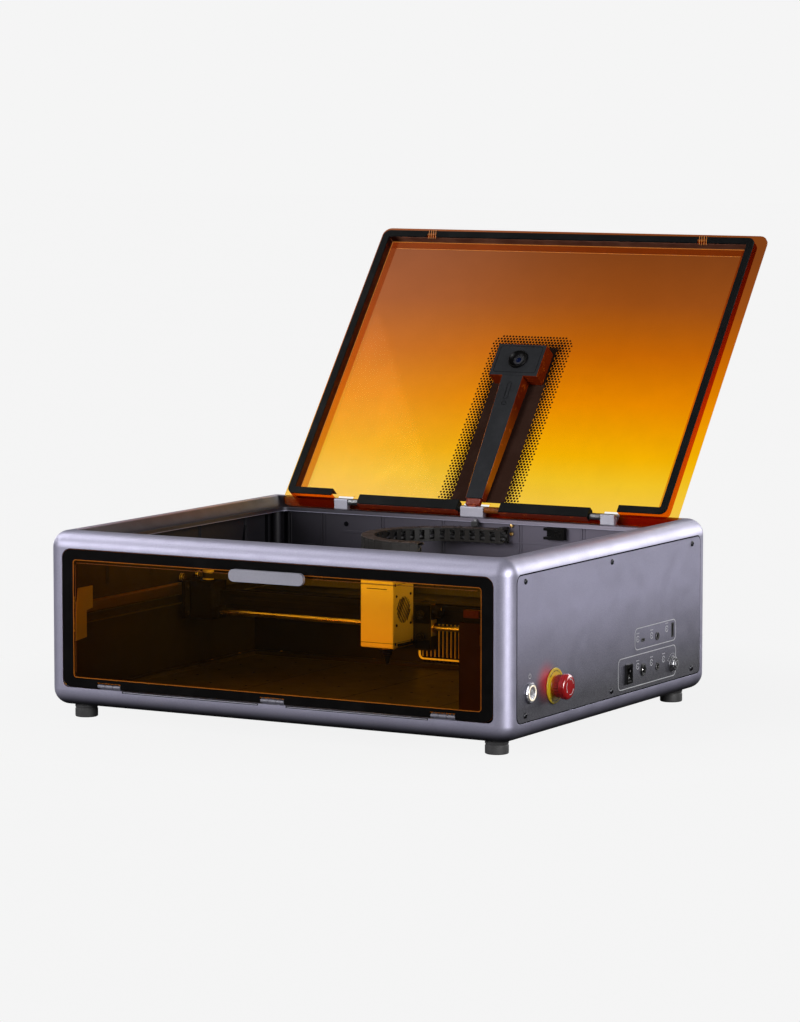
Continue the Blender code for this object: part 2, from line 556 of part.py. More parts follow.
# ---------------------------------------------------------------- motion system
def y_drive(root):
    """Side rails, belts and idlers, the cross shaft with its pulleys, and the motor."""
    rails = (("left", LEFT_WALL + GAP, LEFT_WALL + 6.8), ("right", RIGHT_WALL - 6.8, RIGHT_WALL - GAP))
    for side, x0, x1 in rails:
        box(f"y_rail_{side}", (x0, -222, RAIL_Z), (x1, 205, RAIL_Z + RAIL_HIGH), "steel", root, 1, "y", 1)
        low, high = x0 + 0.5, x1 - 0.5
        centre = (IDLER_Y, BELT_Z)
        profile = [(1.8, low), (PULLEY_R, low), (PULLEY_R, high), (1.8, high)]
        turned(f"y_idler_{side}", "x", centre, profile, "steel", pivot(f"y_idler_{side}_axis", (low, *centre), root),
               20, hollow=True)
        inside, outside = PULLEY_R + GAP, PULLEY_R + GAP + 0.7
        frame_ring(f"y_belt_{side}", stadium("yz", outside), stadium("yz", inside), "x", low + 0.4, high - 0.4,
                   "rubber", root)
    shaft = pivot("y_shaft_axis", (0, SHAFT_Y, BELT_Z), root)
    left, right = LEFT_WALL + 0.8, RIGHT_WALL - 0.8
    turned("y_drive_shaft", "x", (SHAFT_Y, BELT_Z), [(0, left - 7), (2.5, left - 7), (2.5, left), (PULLEY_R, left),
                                                     (PULLEY_R, left + 5.5), (2.5, left + 5.5), (2.5, right - 5.5),
                                                     (PULLEY_R, right - 5.5), (PULLEY_R, right), (2.5, right),
                                                     (2.5, right + 7), (0, right + 7)], "steel", shaft, 20)
    x = RIGHT_WALL + SHEET + GAP
    motor = box("y_motor", (x, SHAFT_Y - 17.5, BELT_Z - 17.5), (x + 23, SHAFT_Y + 17.5, BELT_Z + 17.5), "black", root,
                3, "x")
    cut(motor, rod("bore", "x", (SHAFT_Y, BELT_Z), 3, x - 3, x + 8, steps=16))


def stadium(plane, radius, steps=8):
    """A belt's outline round its two pulleys: side belts in the yz plane, the cross belt in xy."""
    if plane == "yz":
        first, second, across = IDLER_Y, SHAFT_Y, BELT_Z
    else:
        first, second, across = X_PULLEY[0], X_IDLER_X, X_PULLEY[1]
    points = []
    for centre, start in ((second, -90), (first, 90)):
        for i in range(steps + 1):
            turn = math.radians(start + 180 * i / steps)
            points.append((centre + radius * math.cos(turn), across + radius * math.sin(turn)))
    return points


def gantry(root):
    """The cross beam with its end brackets, the rod, and the belt drive of the carriage."""
    axis = pivot("gantry_axis", (0, 15, 100), root)
    left, right = LEFT_WALL + 7.4, RIGHT_WALL - 7.4
    beam = box("gantry_frame", (-219.1, BEAM_FRONT, BEAM_LOW), (right - 2, BEAM_BACK, BEAM_HIGH), "dark_liner", axis)
    pieces = [box("plate", (left, -8, 84), (left + 4.6, 36, 127)),
              box("plate", (right - 4.6, -8, 84), (right, 36, 127)),
              box("back", (left + 1, 31.4, BEAM_LOW + 1), (-205, 35.4, BEAM_HIGH - 1)),
              box("lip", (left - 6.5, -7, 124.7), (left + 1, 35, 126.6)),
              box("lip", (right - 1, -7, 124.7), (right + 6.5, 35, 126.6)),
              box("clamp", (left - 5.5, 5, 107), (left + 1, 25, 110)),
              box("clamp", (right - 1, 5, 107), (right + 5.5, 25, 110)),
              box("boss", (-218.7, -2, 87), (-211, BEAM_FRONT + 2, 99)),
              rod("post", "z", (X_IDLER_X, X_PULLEY[1] + 0.5), 5, BEAM_HIGH - 2, 126, steps=16),
              rod("axle", "z", (X_IDLER_X, X_PULLEY[1]), 1.5, 125, 137.4, steps=12)]
    weld(beam, *pieces)
    rod("x_rod", "x", (ROD_Y, ROD_Z), ROD_R, -211 + GAP, right - 4.6 - GAP, "steel", axis, 16)
    x, y = X_PULLEY
    motor = box("x_motor", (-250.6, 0, 84), (-219.6, 31, 126), "black", axis, 2.5, "z")
    cut(motor, rod("bore", "z", X_PULLEY, 3, 118, 130, steps=16))
    profile = [(PULLEY_R, 128.4), (PULLEY_R, 135.6), (6.4, 135.6), (6.4, 138), (0, 138)]
    turned("x_pulley", "z", X_PULLEY, [(0, 120), (2.4, 120), (2.4, 126.4), (6.4, 126.4), (6.4, 128.4)] + profile,
           "steel", pivot("x_pulley_axis", (x, y, 130), axis), 20)
    turned("x_idler", "z", (X_IDLER_X, y), [(1.8, 126.4), (6.4, 126.4), (6.4, 128.4), (PULLEY_R, 128.4),
                                            (PULLEY_R, 135.6), (6.4, 135.6), (6.4, 138), (1.8, 138)],
           "steel", pivot("x_idler_axis", (X_IDLER_X, y, 130), axis), 20, hollow=True)
    frame_ring("x_belt", stadium("xy", PULLEY_R + GAP + 1), stadium("xy", PULLEY_R + GAP), "z", 129, 135, "rubber",
               axis)
    return axis


def carriage(gantry_axis):
    """The carriage on the rod and beam, with its belt clamp and chain bracket, and the focus knob."""
    axis = pivot("carriage_axis", (NOZZLE_X, ROD_Y, ROD_Z), gantry_axis)
    block = box("carriage", (CARRIAGE_X0, -1.7, 68), (CARRIAGE_X1, 9.7, 120), "black", axis, 1.5, "y")
    weld(block, box("shoe", (0, 8, 116.6), (40, 30, 119.4)), box("clamp", (10, 0.2, 118), (30, 8.9, 137.5)),
         box("post", (5, 0, 119), (30.2, 3.2, 164.6)), box("shelf", (5.1, 0.1, 162), (30, 44, 165)))
    cut(block, rod("bore", "x", (ROD_Y, ROD_Z), ROD_R + GAP, CARRIAGE_X0 - 4, CARRIAGE_X1 + 4, steps=16))
    knob = pivot("focus_knob_axis", (CARRIAGE_X1, KNOB_Y, KNOB_Z), axis)
    start = CARRIAGE_X1 + GAP
    turned("focus_knob", "x", (KNOB_Y, KNOB_Z), [(0, start), (3, start), (3, start + 2), (6.6, start + 2.6),
                                                 (6.8, start + 9), (5.8, start + 10), (0, start + 10)],
           "black", knob, 20)
    return axis


def laser_head(carriage_axis):
    """The laser housing with its vent, the nozzle and the cooling fan."""
    axis = pivot("focus_axis", (NOZZLE_X, HEAD_BACK, HEAD_LOW), carriage_axis)
    housing = box("laser_housing", (HEAD_X0, HEAD_FRONT, HEAD_LOW), (HEAD_X1, HEAD_BACK, HEAD_HIGH), "silver", axis,
                  1.5, "xyz", 2)
    cut(housing, box("cavity", (HEAD_X0 + 3, HEAD_FRONT + 3, HEAD_LOW + 5), (HEAD_X1 - 3, HEAD_BACK + 4,
                                                                            HEAD_HIGH - 3)))
    weld(housing, rod("boss", "x", (VENT_Y, VENT_Z), 4, HEAD_X0 + 2, 25.5))
    slots = []
    lean = math.radians(32)
    for i in range(-3, 4):
        reach = math.sqrt(13.0 ** 2 - (i * 3.8) ** 2)
        slot = box("slot", (HEAD_X1 - 6, -0.9, -reach), (HEAD_X1 + 3, 0.9, reach))
        slot.rotation_euler = (-lean, 0, 0)
        slot.location = (Vector((HEAD_X1 - 1.5, VENT_Y + i * 3.8 * math.cos(lean),
                                 VENT_Z - i * 3.8 * math.sin(lean))) * MM)
        slots.append(slot)
    cut(housing, *slots, rod("bore", "z", (NOZZLE_X, NOZZLE_Y), 3, HEAD_LOW - 3, HEAD_LOW + 8, steps=16))
    high = HEAD_LOW - GAP
    turned("laser_nozzle", "z", (NOZZLE_X, NOZZLE_Y), [(1.0, NOZZLE_TIP), (1.8, NOZZLE_TIP), (4.4, high - 8),
                                                       (4.8, high - 7.6), (4.8, high), (2.6, high), (2.6, high - 8)],
           "steel", axis, hollow=True)
    hub = pivot("laser_fan_axis", (30, VENT_Y, VENT_Z), axis)
    fan("laser_fan_rotor", "x", (VENT_Y, VENT_Z), 26, 35.5, 4.5, 13.5, 7, hub)


def drag_chain(root):
    """The cable chain, lying on its side: a fixed run, a half-turn and a run to the carriage."""
    def arc(radius, start, stop, steps=14):
        turns = [math.radians(start + (stop - start) * i / steps) for i in range(steps + 1)]
        return [(CHAIN_X + radius * math.cos(t), CHAIN_Y + radius * math.sin(t)) for t in turns]

    outer, inner = CHAIN_R + CHAIN_HALF, CHAIN_R - CHAIN_HALF
    outline = [(CHAIN_FIXED_X, CHAIN_Y + outer)] + arc(outer, 90, 270) + [(CHAIN_MOVING_X, CHAIN_Y - outer),
                                                                        (CHAIN_MOVING_X, CHAIN_Y - inner)]
    outline += arc(inner, 270, 90) + [(CHAIN_FIXED_X, CHAIN_Y + inner)]
    prism("drag_chain", outline, "z", CHAIN_LOW, CHAIN_HIGH, "black", root)


# ---------------------------------------------------------------- assembly
def settle(root, lid_axis):
    """Open the lid to its stop and put the origin under the middle of the bounding box."""
    lid_axis.rotation_euler = (math.radians(-LID_OPEN), 0, 0)
    bpy.context.view_layer.update()
    corners = [obj.matrix_world @ vert.co for obj in bpy.data.objects if obj.type == "MESH"
               for vert in obj.data.vertices]
    for i in range(2):
        values = [corner[i] for corner in corners]
        root.location[i] = -round((min(values) + max(values)) / 2, 5)


def main():
    for obj in list(bpy.data.objects):
        bpy.data.objects.remove(obj)
    root = pivot("case_frame", (0, 0, 0))
    case_shell(root)
    base_and_feet(root)
    chamber(root)
    exhaust(root)
    control_panel(root)
    panel_controls(root)
    front_door(root)
    lid_axis = lid(root)
    y_drive(root)
    gantry_axis = gantry(root)
    laser_head(carriage(gantry_axis))
    drag_chain(root)
    settle(root, lid_axis)


main()
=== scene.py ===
import math
import random

import bmesh
import bpy
from mathutils import Matrix, Vector


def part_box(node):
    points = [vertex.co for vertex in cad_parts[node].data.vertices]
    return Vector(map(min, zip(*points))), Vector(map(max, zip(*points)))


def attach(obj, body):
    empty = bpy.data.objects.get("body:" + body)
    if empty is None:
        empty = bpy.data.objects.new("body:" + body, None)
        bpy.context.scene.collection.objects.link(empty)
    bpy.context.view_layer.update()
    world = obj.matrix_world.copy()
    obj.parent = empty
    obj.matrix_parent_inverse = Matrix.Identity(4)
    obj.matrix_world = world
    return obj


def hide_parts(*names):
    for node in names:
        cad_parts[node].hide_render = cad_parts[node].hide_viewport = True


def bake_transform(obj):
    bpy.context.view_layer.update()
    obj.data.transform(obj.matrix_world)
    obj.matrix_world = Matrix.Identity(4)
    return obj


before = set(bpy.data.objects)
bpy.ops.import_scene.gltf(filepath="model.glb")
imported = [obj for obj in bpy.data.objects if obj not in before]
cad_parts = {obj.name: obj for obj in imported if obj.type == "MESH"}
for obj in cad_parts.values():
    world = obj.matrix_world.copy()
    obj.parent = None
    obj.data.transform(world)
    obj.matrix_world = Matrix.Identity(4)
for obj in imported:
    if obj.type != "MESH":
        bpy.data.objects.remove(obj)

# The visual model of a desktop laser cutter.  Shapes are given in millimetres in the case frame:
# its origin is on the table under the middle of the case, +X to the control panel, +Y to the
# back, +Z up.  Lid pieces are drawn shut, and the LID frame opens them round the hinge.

random.seed(7)
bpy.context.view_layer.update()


def about(point, degrees, axis):
    """A turn about an axis through a point."""
    there = Matrix.Translation(point)
    return there @ Matrix.Rotation(math.radians(degrees), 4, axis) @ there.inverted()


MM = 0.001
low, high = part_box("base_plate")
SHIFT = Vector(((low.x + high.x) / 2, (low.y + high.y) / 2, 0))
CASE = Matrix.Translation(SHIFT) @ Matrix.Scale(MM, 4)
LID_AXIS = Vector((0, 208.4, 200.9))
LID_OPEN = 127.97
LID = CASE @ about(LID_AXIS, -LID_OPEN, "X")
ROCKER = CASE @ about(Vector((281, 34.1, 54.3)), 8, "Y")

# Sizes shared with the solids.  A face is (least, most, lowest, highest) in its own plane.
CASE_X, CASE_Y, CASE_LOW, CASE_TOP, CASE_ROUND, WALL = 283.8, 234, 14.3, 204, 18, 4
FRONT, REAR = -CASE_Y, CASE_Y
CEILING, LIP, LIP_X, LIP_FRONT, LIP_BACK, STEP_BACK = 187, 191.5, 248, -174, 203.5, 219
LEFT_WALL, RIGHT_WALL, REAR_WALL = -263, 248.3, 206.3
DOOR_X, DOOR_LOW, DOOR_HIGH = 263.5, 36.2, 185.4
DOOR_HINGES = (("left", -205), ("centre", 0), ("right", 205))
WINDOW = (-250.5, 250.5, 46, 174.8)
PANEL = (-219.1, 213.1, 33.75, 186.4)
PANEL_FACE = 283.7
LID_REAR, LID_FRONT, LID_LOW = 214.14, -183.46, 203.9
BED_TOP, GRILLE_FACE = 22.9, 160.2
EXHAUST = (150, 60)
POWER_BUTTON, ESTOP, KEY, DC_INLET = (-191, 63.3), (-137.2, 63.8), (144.3, 51.7), (71.4, 54.1)
NOZZLE, LENS = (20.5, -25), (0, LID_REAR - 202)
HEAD_SIDE, HEAD_FRONT, HEAD_TOP = 41, -48, 148.3

CAMERA_AT, CAMERA_LENS, SENSOR = (2.23839, -4.03082, 0.69913), 146.38, 36
CAMERA_DOWN, CAMERA_TURN = 6.066, 29.543
BACKDROP, SKY = 0.913, 0.12


# ---------------------------------------------------------------- outlines
def rounded(u0, u1, v0, v1, radius, steps=6):
    """A rectangle with rounded corners."""
    points = []
    for u, v, start in ((u1, v1, 0), (u0, v1, 90), (u0, v0, 180), (u1, v0, 270)):
        cu = u - math.copysign(radius, u - (u0 + u1) / 2)
        cv = v - math.copysign(radius, v - (v0 + v1) / 2)
        for i in range(steps + 1):
            turn = math.radians(start + 90 * i / steps)
            points.append((cu + radius * math.cos(turn), cv + radius * math.sin(turn)))
    return points


def polar(centre, radius, degrees):
    """The point at a radius and an angle from a centre."""
    turn = math.radians(degrees)
    return centre[0] + radius * math.cos(turn), centre[1] + radius * math.sin(turn)


def circle(centre, radius, steps=32):
    """Points round a circle."""
    return [polar(centre, radius, 360 * i / steps) for i in range(steps)]


def sector(centre, inner, outer, start, stop):
    """A short piece of a circular band, between two angles."""
    corners = ((outer, start), (outer, stop), (inner, stop), (inner, start))
    return [polar(centre, radius, degrees) for radius, degrees in corners]


def grow(face, by):
    """A face enlarged on all four sides."""
    u0, u1, v0, v1 = face
    return u0 - by, u1 + by, v0 - by, v1 + by


def bar(start, end, width):
    """The corners of a straight bar between two points in a plane."""
    start, end = Vector(start), Vector(end)
    side = (end - start).orthogonal().normalized() * width / 2
    return [start + side, end + side, end - side, start - side]


def knurled(centre, profile, steps, group):
    """Rings round the x axis from (radius, along, tooth) rows, with teeth of some steps each."""
    return [[(along, *polar(centre, radius - tooth * (i // group % 2), 360 * i / steps))
             for i in range(steps)] for radius, along, tooth in profile]


def to_axis(axis, across, up, along):
    """A point from two coordinates in a plane and one along the plane's normal."""
    return {"x": (along, across, up), "y": (across, along, up), "z": (across, up, along)}[axis]


# ---------------------------------------------------------------- one mesh from many shapes
class Piece:
    """A mesh that gathers blocks, prisms, turned shapes and tubes, in a frame's millimetres."""

    def __init__(self, name, finish, frame_matrix=CASE):
        self.name, self.finish, self.frame = name, finish, frame_matrix
        self.bm = bmesh.new()

    def skin(self, rings, closed=False, turn=None):
        """Faces over rings of points with equal counts, where a ring may be one point."""
        if turn:
            rings = [[turn @ Vector(p) for p in ring] for ring in rings]
        loops = [[self.bm.verts.new(p) for p in ring] for ring in rings]
        pairs = list(zip(loops, loops[1:])) + ([(loops[-1], loops[0])] if closed else [])
        faces = []
        for one, two in pairs:
            for i in range(max(len(one), len(two))):
                around = ((one, i), (one, i + 1), (two, i + 1), (two, i))
                corners = [loop[k % len(loop)] for loop, k in around]
                kept = [c for n, c in enumerate(corners) if c not in corners[:n]]
                faces.append(self.bm.faces.new(kept))
        if not closed:
            faces += [self.bm.faces.new(loop) for loop in (loops[0], loops[-1]) if len(loop) > 2]
        bmesh.ops.recalc_face_normals(self.bm, faces=faces)
        return self

    def box(self, x0, y0, z0, x1, y1, z1, turn=None):
        """A block between two corners."""
        ring = [(x0, y0), (x1, y0), (x1, y1), (x0, y1)]
        return self.skin([[(x, y, z) for x, y in ring] for z in (z0, z1)], turn=turn)

    def boxes(self, *corners):
        """Several blocks."""
        for six in corners:
            self.box(*six)
        return self

    def prism(self, outline, axis, start, end):
        """An outline extruded along an axis."""
        return self.skin([[to_axis(axis, u, v, w) for u, v in outline] for w in (start, end)])

    def slab(self, face, radius, axis, start, end, steps=6):
        """A plate with rounded corners."""
        return self.prism(rounded(*face, radius, steps), axis, start, end)

    def ring(self, outer, inner, axis, start, end, turn=None):
        """A flat ring between two outlines with equal counts of points."""
        order = ((outer, start), (outer, end), (inner, end), (inner, start))
        rings = [[to_axis(axis, u, v, w) for u, v in outline] for outline, w in order]
        return self.skin(rings, closed=True, turn=turn)

    def border(self, face, radius, width, inner_radius, axis, start, end, steps=8, turn=None):
        """A rounded rectangular frame of one width."""
        inner = rounded(*grow(face, -width), inner_radius, steps)
        return self.ring(rounded(*face, radius, steps), inner, axis, start, end, turn)

    def lathe(self, axis, centre, profile, steps=32, hollow=False, turn=None):
        """A turned shape from (radius, along) pairs."""
        rings = []
        for radius, along in profile:
            points = circle(centre, radius, steps) if radius else [centre]
            rings.append([to_axis(axis, u, v, along) for u, v in points])
        return self.skin(rings, closed=hollow, turn=turn)

    def washer(self, axis, centre, inner, outer, start, end, steps=32, turn=None):
        """A washer, or a disc where the inner radius is nought."""
        profile = [(inner, start), (outer, start), (outer, end), (inner, end)]
        return self.lathe(axis, centre, profile, steps, inner > 0, turn)

    def tube(self, points, radius, steps):
        """A round bar along a path of points."""
        points = [Vector(p) for p in points]
        rings, side = [], None
        for i, point in enumerate(points):
            run = (points[min(i + 1, len(points) - 1)] - points[max(i - 1, 0)]).normalized()
            if side is None:
                side = run.orthogonal().normalized()
            side = (side - run * side.dot(run)).normalized()
            other = run.cross(side)
            rings.append([point + radius * (math.cos(t) * side + math.sin(t) * other)
                          for t in (math.tau * k / steps for k in range(steps))])
        return self.skin(rings)

    def screws(self, places, axis, facing, radius, depth, head):
        """Button-head screws with hexagonal sockets, standing on a surface at each point."""
        ax = "xyz".index(axis)
        for at in places:
            centre = [at[i] for i in range(3) if i != ax]
            heights = ((0, -0.4), (radius, -0.4), (radius, 0.25 * head),
                       (radius * 0.82, 0.8 * head), (radius * 0.5, head),
                       (radius * 0.5, head - depth), (0, head - depth))
            self.lathe(axis, centre, [(r, at[ax] + rise * facing) for r, rise in heights], 18)
        return self

    def raw(self):
        """The bare object, for a Boolean or to be dressed."""
        mesh = bpy.data.meshes.new(self.name)
        self.bm.to_mesh(mesh)
        self.bm.free()
        mesh.transform(self.frame)
        obj = bpy.data.objects.new(self.name, mesh)
        bpy.context.scene.collection.objects.link(obj)
        return obj

    def done(self, body, edge=0, cuts=(), **more):
        """The finished object, riding on a body; edge is how far its edges are rounded."""
        obj = self.raw()
        if cuts:
            combine(obj, [cut.raw() for cut in cuts])
        return dress(obj, self.finish, body, edge, **more)


def dress(obj, finish, body, edge=0, sharp=32, slot=None, stands_for=(), weighted=True):
    """Material, smooth shading, rounded edges and the body it rides on."""
    obj.data.materials.clear()
    obj.data.materials.append(finish)
    soften(obj, edge, sharp, weighted)
    if body:
        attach(obj, body)
    if stands_for:
        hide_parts(*stands_for)
    return obj


def soften(obj, edge, sharp, weighted=True):
    """Smooth shading that keeps sharp edges, with a narrow rounding along them."""
    obj.data.shade_smooth()
    obj.data.set_sharp_from_angle(angle=math.radians(sharp))
    if edge:
        rounding = obj.modifiers.new("rounding", "BEVEL")
        rounding.width = edge * MM
        rounding.segments = 2
        rounding.limit_method = "ANGLE"
        rounding.angle_limit = math.radians(sharp)
    if weighted:
        obj.modifiers.new("even", "WEIGHTED_NORMAL").keep_sharp = True


def combine(obj, tools):
    """Cut an object with exact Booleans, and remove the tools."""
    for tool in tools:
        change = obj.modifiers.new("shape", "BOOLEAN")
        change.operation = "DIFFERENCE"
        change.solver = "EXACT"
        change.object = tool
    bpy.context.view_layer.update()
    depsgraph = bpy.context.evaluated_depsgraph_get()
    mesh = bpy.data.meshes.new_from_object(obj.evaluated_get(depsgraph))
    obj.modifiers.clear()
    obj.data = mesh
    for tool in tools:
        bpy.data.objects.remove(tool)


# ---------------------------------------------------------------- materials
class Shader:
    """A node tree with short calls for the nodes that the finishes share."""

    def __init__(self, name):
        self.material = bpy.data.materials.new(name)
        self.material.use_nodes = True
        self.tree = self.material.node_tree
        self.tree.nodes.clear()
        self.out = self.tree.nodes.new("ShaderNodeOutputMaterial")
        self.place = self.make("ShaderNodeTexCoord", {}, "Object")

    def make(self, kind, inputs, output=0, **settings):
        """A node's output, with its inputs linked or set; a colour of three numbers is opaque."""
        node = self.tree.nodes.new(kind)
        for key, value in settings.items():
            setattr(node, key, value)
        for name, value in inputs.items():
            socket = node.inputs[name]
            if isinstance(value, bpy.types.NodeSocket):
                self.tree.links.new(value, socket)
            elif socket.type == "RGBA":
                socket.default_value = (*value, 1)
            else:
                socket.default_value = value
        return node.outputs if output is None else node.outputs[output]

    def scaled(self, scale):
        """Object coordinates stretched by a scale per axis."""
        return self.make("ShaderNodeMapping", {"Vector": self.place, "Scale": scale})

    def noise(self, scale, detail=2, rough=0.5, vector=None, distortion=0):
        return self.make("ShaderNodeTexNoise", {
            "Vector": vector or self.place, "Scale": scale, "Detail": detail, "Roughness": rough,
            "Distortion": distortion}, "Fac")

    def cells(self, scale, output="Distance", feature="F1"):
        return self.make("ShaderNodeTexVoronoi", {"Vector": self.place, "Scale": scale}, output,
                         feature=feature)

    def spread(self, value, low_out, high_out, low_in=0, high_in=1, smooth=False):
        return self.make("ShaderNodeMapRange", {
            "Value": value, "From Min": low_in, "From Max": high_in, "To Min": low_out,
            "To Max": high_out}, "Result", interpolation_type="SMOOTHSTEP" if smooth else "LINEAR")

    def drift(self, scale, low_out, high_out, low_in=0.3, high_in=0.7, detail=3, rough=0.5):
        """A level that wanders over the surface with a noise."""
        return self.spread(self.noise(scale, detail, rough), low_out, high_out, low_in, high_in)

    def math(self, operation, one, two=None):
        inputs = {0: one} if two is None else {0: one, 1: two}
        return self.make("ShaderNodeMath", inputs, operation=operation)

    def times(self, one, two):
        return self.math("MULTIPLY", one, two)

    def vector_math(self, operation, vector, output="Value"):
        """The place on the surface measured against a vector."""
        return self.make("ShaderNodeVectorMath", {0: self.place, 1: vector}, output,
                         operation=operation)

    def mix(self, factor, one, two):
        return self.make("ShaderNodeMix", {0: factor, 6: one, 7: two}, 2, data_type="RGBA")

    def blend(self, factor, one, two):
        """Two surfaces mixed by a factor."""
        return self.make("ShaderNodeMixShader", {0: factor, 1: one, 2: two})

    def ramp(self, factor, stops):
        node = self.tree.nodes.new("ShaderNodeValToRGB")
        self.tree.links.new(factor, node.inputs["Fac"])
        elements = node.color_ramp.elements
        while len(elements) < len(stops):
            elements.new(0.5)
        for element, (position, colour) in zip(elements, stops):
            element.position = position
            element.color = (*colour, 1)
        return node.outputs["Color"]

    def split(self, vector=None):
        return self.make("ShaderNodeSeparateXYZ", {0: vector or self.place}, None)

    def bump(self, height, strength, distance):
        return self.make("ShaderNodeBump", {
            "Strength": strength, "Distance": distance, "Height": height}, "Normal")

    def peel(self):
        """The fine waviness of a sprayed coat."""
        coarse, fine = self.times(self.noise(420, 2), 0.6), self.times(self.noise(1900, 1), 0.4)
        return self.bump(self.math("ADD", coarse, fine), 0.1, 0.0004)

    def glint(self, base, amount):
        """Pale metal flakes over a colour."""
        flakes = self.split(self.cells(2600, "Color"))[0]
        return self.mix(self.spread(flakes, 0, amount), base, (0.8, 0.8, 0.86))

    def solid(self, colour, roughness, metallic=0, normal=None, **more):
        """The finished material, from the principled shader."""
        inputs = {"Base Color": colour, "Roughness": roughness, "Metallic": metallic}
        if normal:
            inputs["Normal"] = normal
        inputs.update((key.replace("_", " "), value) for key, value in more.items())
        return self.finish(self.make("ShaderNodeBsdfPrincipled", inputs))

    def finish(self, surface):
        self.tree.links.new(surface, self.out.inputs["Surface"])
        return self.material


def lid_reach(s, start, stop):
    """How far along the open lid a place is, from its hinge to its front edge, as nought to one."""
    turn = math.radians(LID_OPEN)
    run = Vector((0, -math.cos(turn), math.sin(turn)))
    along = s.math("SUBTRACT", s.vector_math("DOT_PRODUCT", run), (CASE @ LID_AXIS).dot(run))
    return s.spread(along, 0, 1, start, stop)


def case_x(x):
    """A case coordinate in metres, as the materials see it."""
    return x * MM + SHIFT.x


def paint(name, colour, roughness=0.36, metallic=0.45, flake=1, dark=0.88, shade=None):
    """Satin metallic powder coat: fine flakes, a soft orange peel and faint clouding."""
    s = Shader(name)
    base = s.mix(s.drift(5, 0, 1), tuple(c * dark for c in colour), colour)
    base = s.glint(base, 0.22 * flake)
    if shade:
        base = shade(s, base)
    return s.solid(base, s.drift(60, roughness - 0.04, roughness + 0.05), metallic, s.peel(),
                   Coat_Weight=0.04, Coat_Roughness=0.4)


def case_shade(s, base):
    """Painted shade: darker under the case, where it turns in to the feet, and in the lid opening's
    step, darkest to the left.
    """
    x, y, z = s.split()
    base = s.mix(s.spread(z, 0.97, 0, 0.0165, 0.0295, smooth=True), base, (0.004, 0.004, 0.006))
    across = s.math("ABSOLUTE", s.math("SUBTRACT", x, SHIFT.x))
    along = s.math("ABSOLUTE", s.math("SUBTRACT", y, SHIFT.y + 0.0025))
    inside = s.times(s.spread(across, 1, 0, 0.264, 0.2655), s.spread(along, 1, 0, 0.216, 0.2175))
    level = s.times(s.spread(z, 0, 1, 0.187, 0.188), s.spread(z, 1, 0, 0.2022, 0.2036))
    rightward = s.spread(x, 0, 1, -0.24, 0.2, smooth=True)
    step = s.mix(rightward, (0.028, 0.026, 0.036), (0.28, 0.25, 0.32))
    return s.mix(s.times(inside, level), base, step)


def plastic(name, colour, roughness=0.5, grain=1400, depth=0.25, scuff=0.06, coat=0, sheen=0,
            gloss=0.5):
    """Moulded plastic or rubber with a fine spark-eroded grain and a few rubbed patches."""
    s = Shader(name)
    rubbed = s.drift(34, 0, 1, 0.45, 0.75, 4, 0.62)
    worn = tuple(min(1, c * 1.5 + 0.006) for c in colour)
    return s.solid(s.mix(s.times(rubbed, 0.5), colour, worn),
                   s.spread(rubbed, roughness + scuff * 0.4, roughness - scuff), 0,
                   s.bump(s.noise(grain, 3, 0.6), depth, 0.00012),
                   Coat_Weight=coat, Sheen_Weight=sheen, Specular_IOR_Level=gloss)


def metal(name, colour, roughness=0.28, brush=(30, 900, 900)):
    """Machined metal with brushing along one axis."""
    s = Shader(name)
    streak = s.noise(1, 3, 0.6, s.scaled(brush))
    dull, bright = (tuple(min(1, c * by) for c in colour) for by in (0.92, 1.08))
    rough = s.math("ADD", s.spread(streak, roughness - 0.05, roughness + 0.05, 0.3, 0.7),
                   s.drift(45, -0.03, 0.05, 0.35))
    return s.solid(s.mix(streak, dull, bright), rough, 1, s.bump(streak, 0.12, 0.0001))


def tinted(name, tint, gloss, mirror):
    """Clear cast acrylic: light passes with a tint, and the faces mirror by Fresnel.  The tint is a
    colour, or a function that makes a colour socket."""
    s = Shader(name)
    colour = tint(s) if callable(tint) else tint
    haze = s.mix(s.drift(26, 0.97, 1, detail=4, rough=0.6), (0, 0, 0), colour)
    clear = s.make("ShaderNodeBsdfTransparent", {"Color": haze})
    rough = s.drift(90, gloss, gloss + 0.04, 0.4, 0.8)
    shine = s.make("ShaderNodeBsdfGlossy", {"Roughness": rough})
    fresnel = s.times(s.make("ShaderNodeFresnel", {"IOR": 1.49}), mirror)
    return s.finish(s.blend(fresnel, clear, shine))


def glowing(name, colour, strength, base):
    """A lit diffuser: a milky face with light behind it, or a painted glow on a part that is no
    lamp.
    """
    s = Shader(name)
    power = s.times(s.drift(700, 0.9, 1.05, detail=2), strength)
    return s.solid(base, 0.4, 0, Emission_Color=colour, Emission_Strength=power)


def pane_tint(s):
    """One face's share of the lid's tint: pale yellow at the hinge, then orange, then brown."""
    warm = s.ramp(lid_reach(s, -0.005, 0.392), (
        (0, (0.8, 0.26, 0.03)), (0.021, (0.9, 0.36, 0.04)), (0.028, (1, 0.8, 0.27)),
        (0.13, (1, 0.78, 0.15)), (0.22, (1, 0.7, 0.035)), (0.4, (0.95, 0.53, 0.004)),
        (0.57, (0.79, 0.385, 0.04)), (0.75, (0.6, 0.29, 0.095)), (0.92, (0.5, 0.245, 0.1))))
    side = s.spread(s.split()[0], 0.24, 0, -0.26, 0.1, smooth=True)
    return s.mix(side, warm, (0.92, 0.62, 0.58))


def rim_tint(s):
    """Deep red on the left, where the rim's wall is seen edge on, and orange to brown elsewhere."""
    left = s.spread(s.split()[0], 1, 0, -0.262, -0.235, smooth=True)
    warm = s.ramp(lid_reach(s, 0, 0.39), (
        (0, (0.9, 0.42, 0.03)), (0.5, (0.74, 0.27, 0.02)), (1, (0.6, 0.26, 0.06))))
    return s.mix(left, warm, (0.34, 0.07, 0.02))


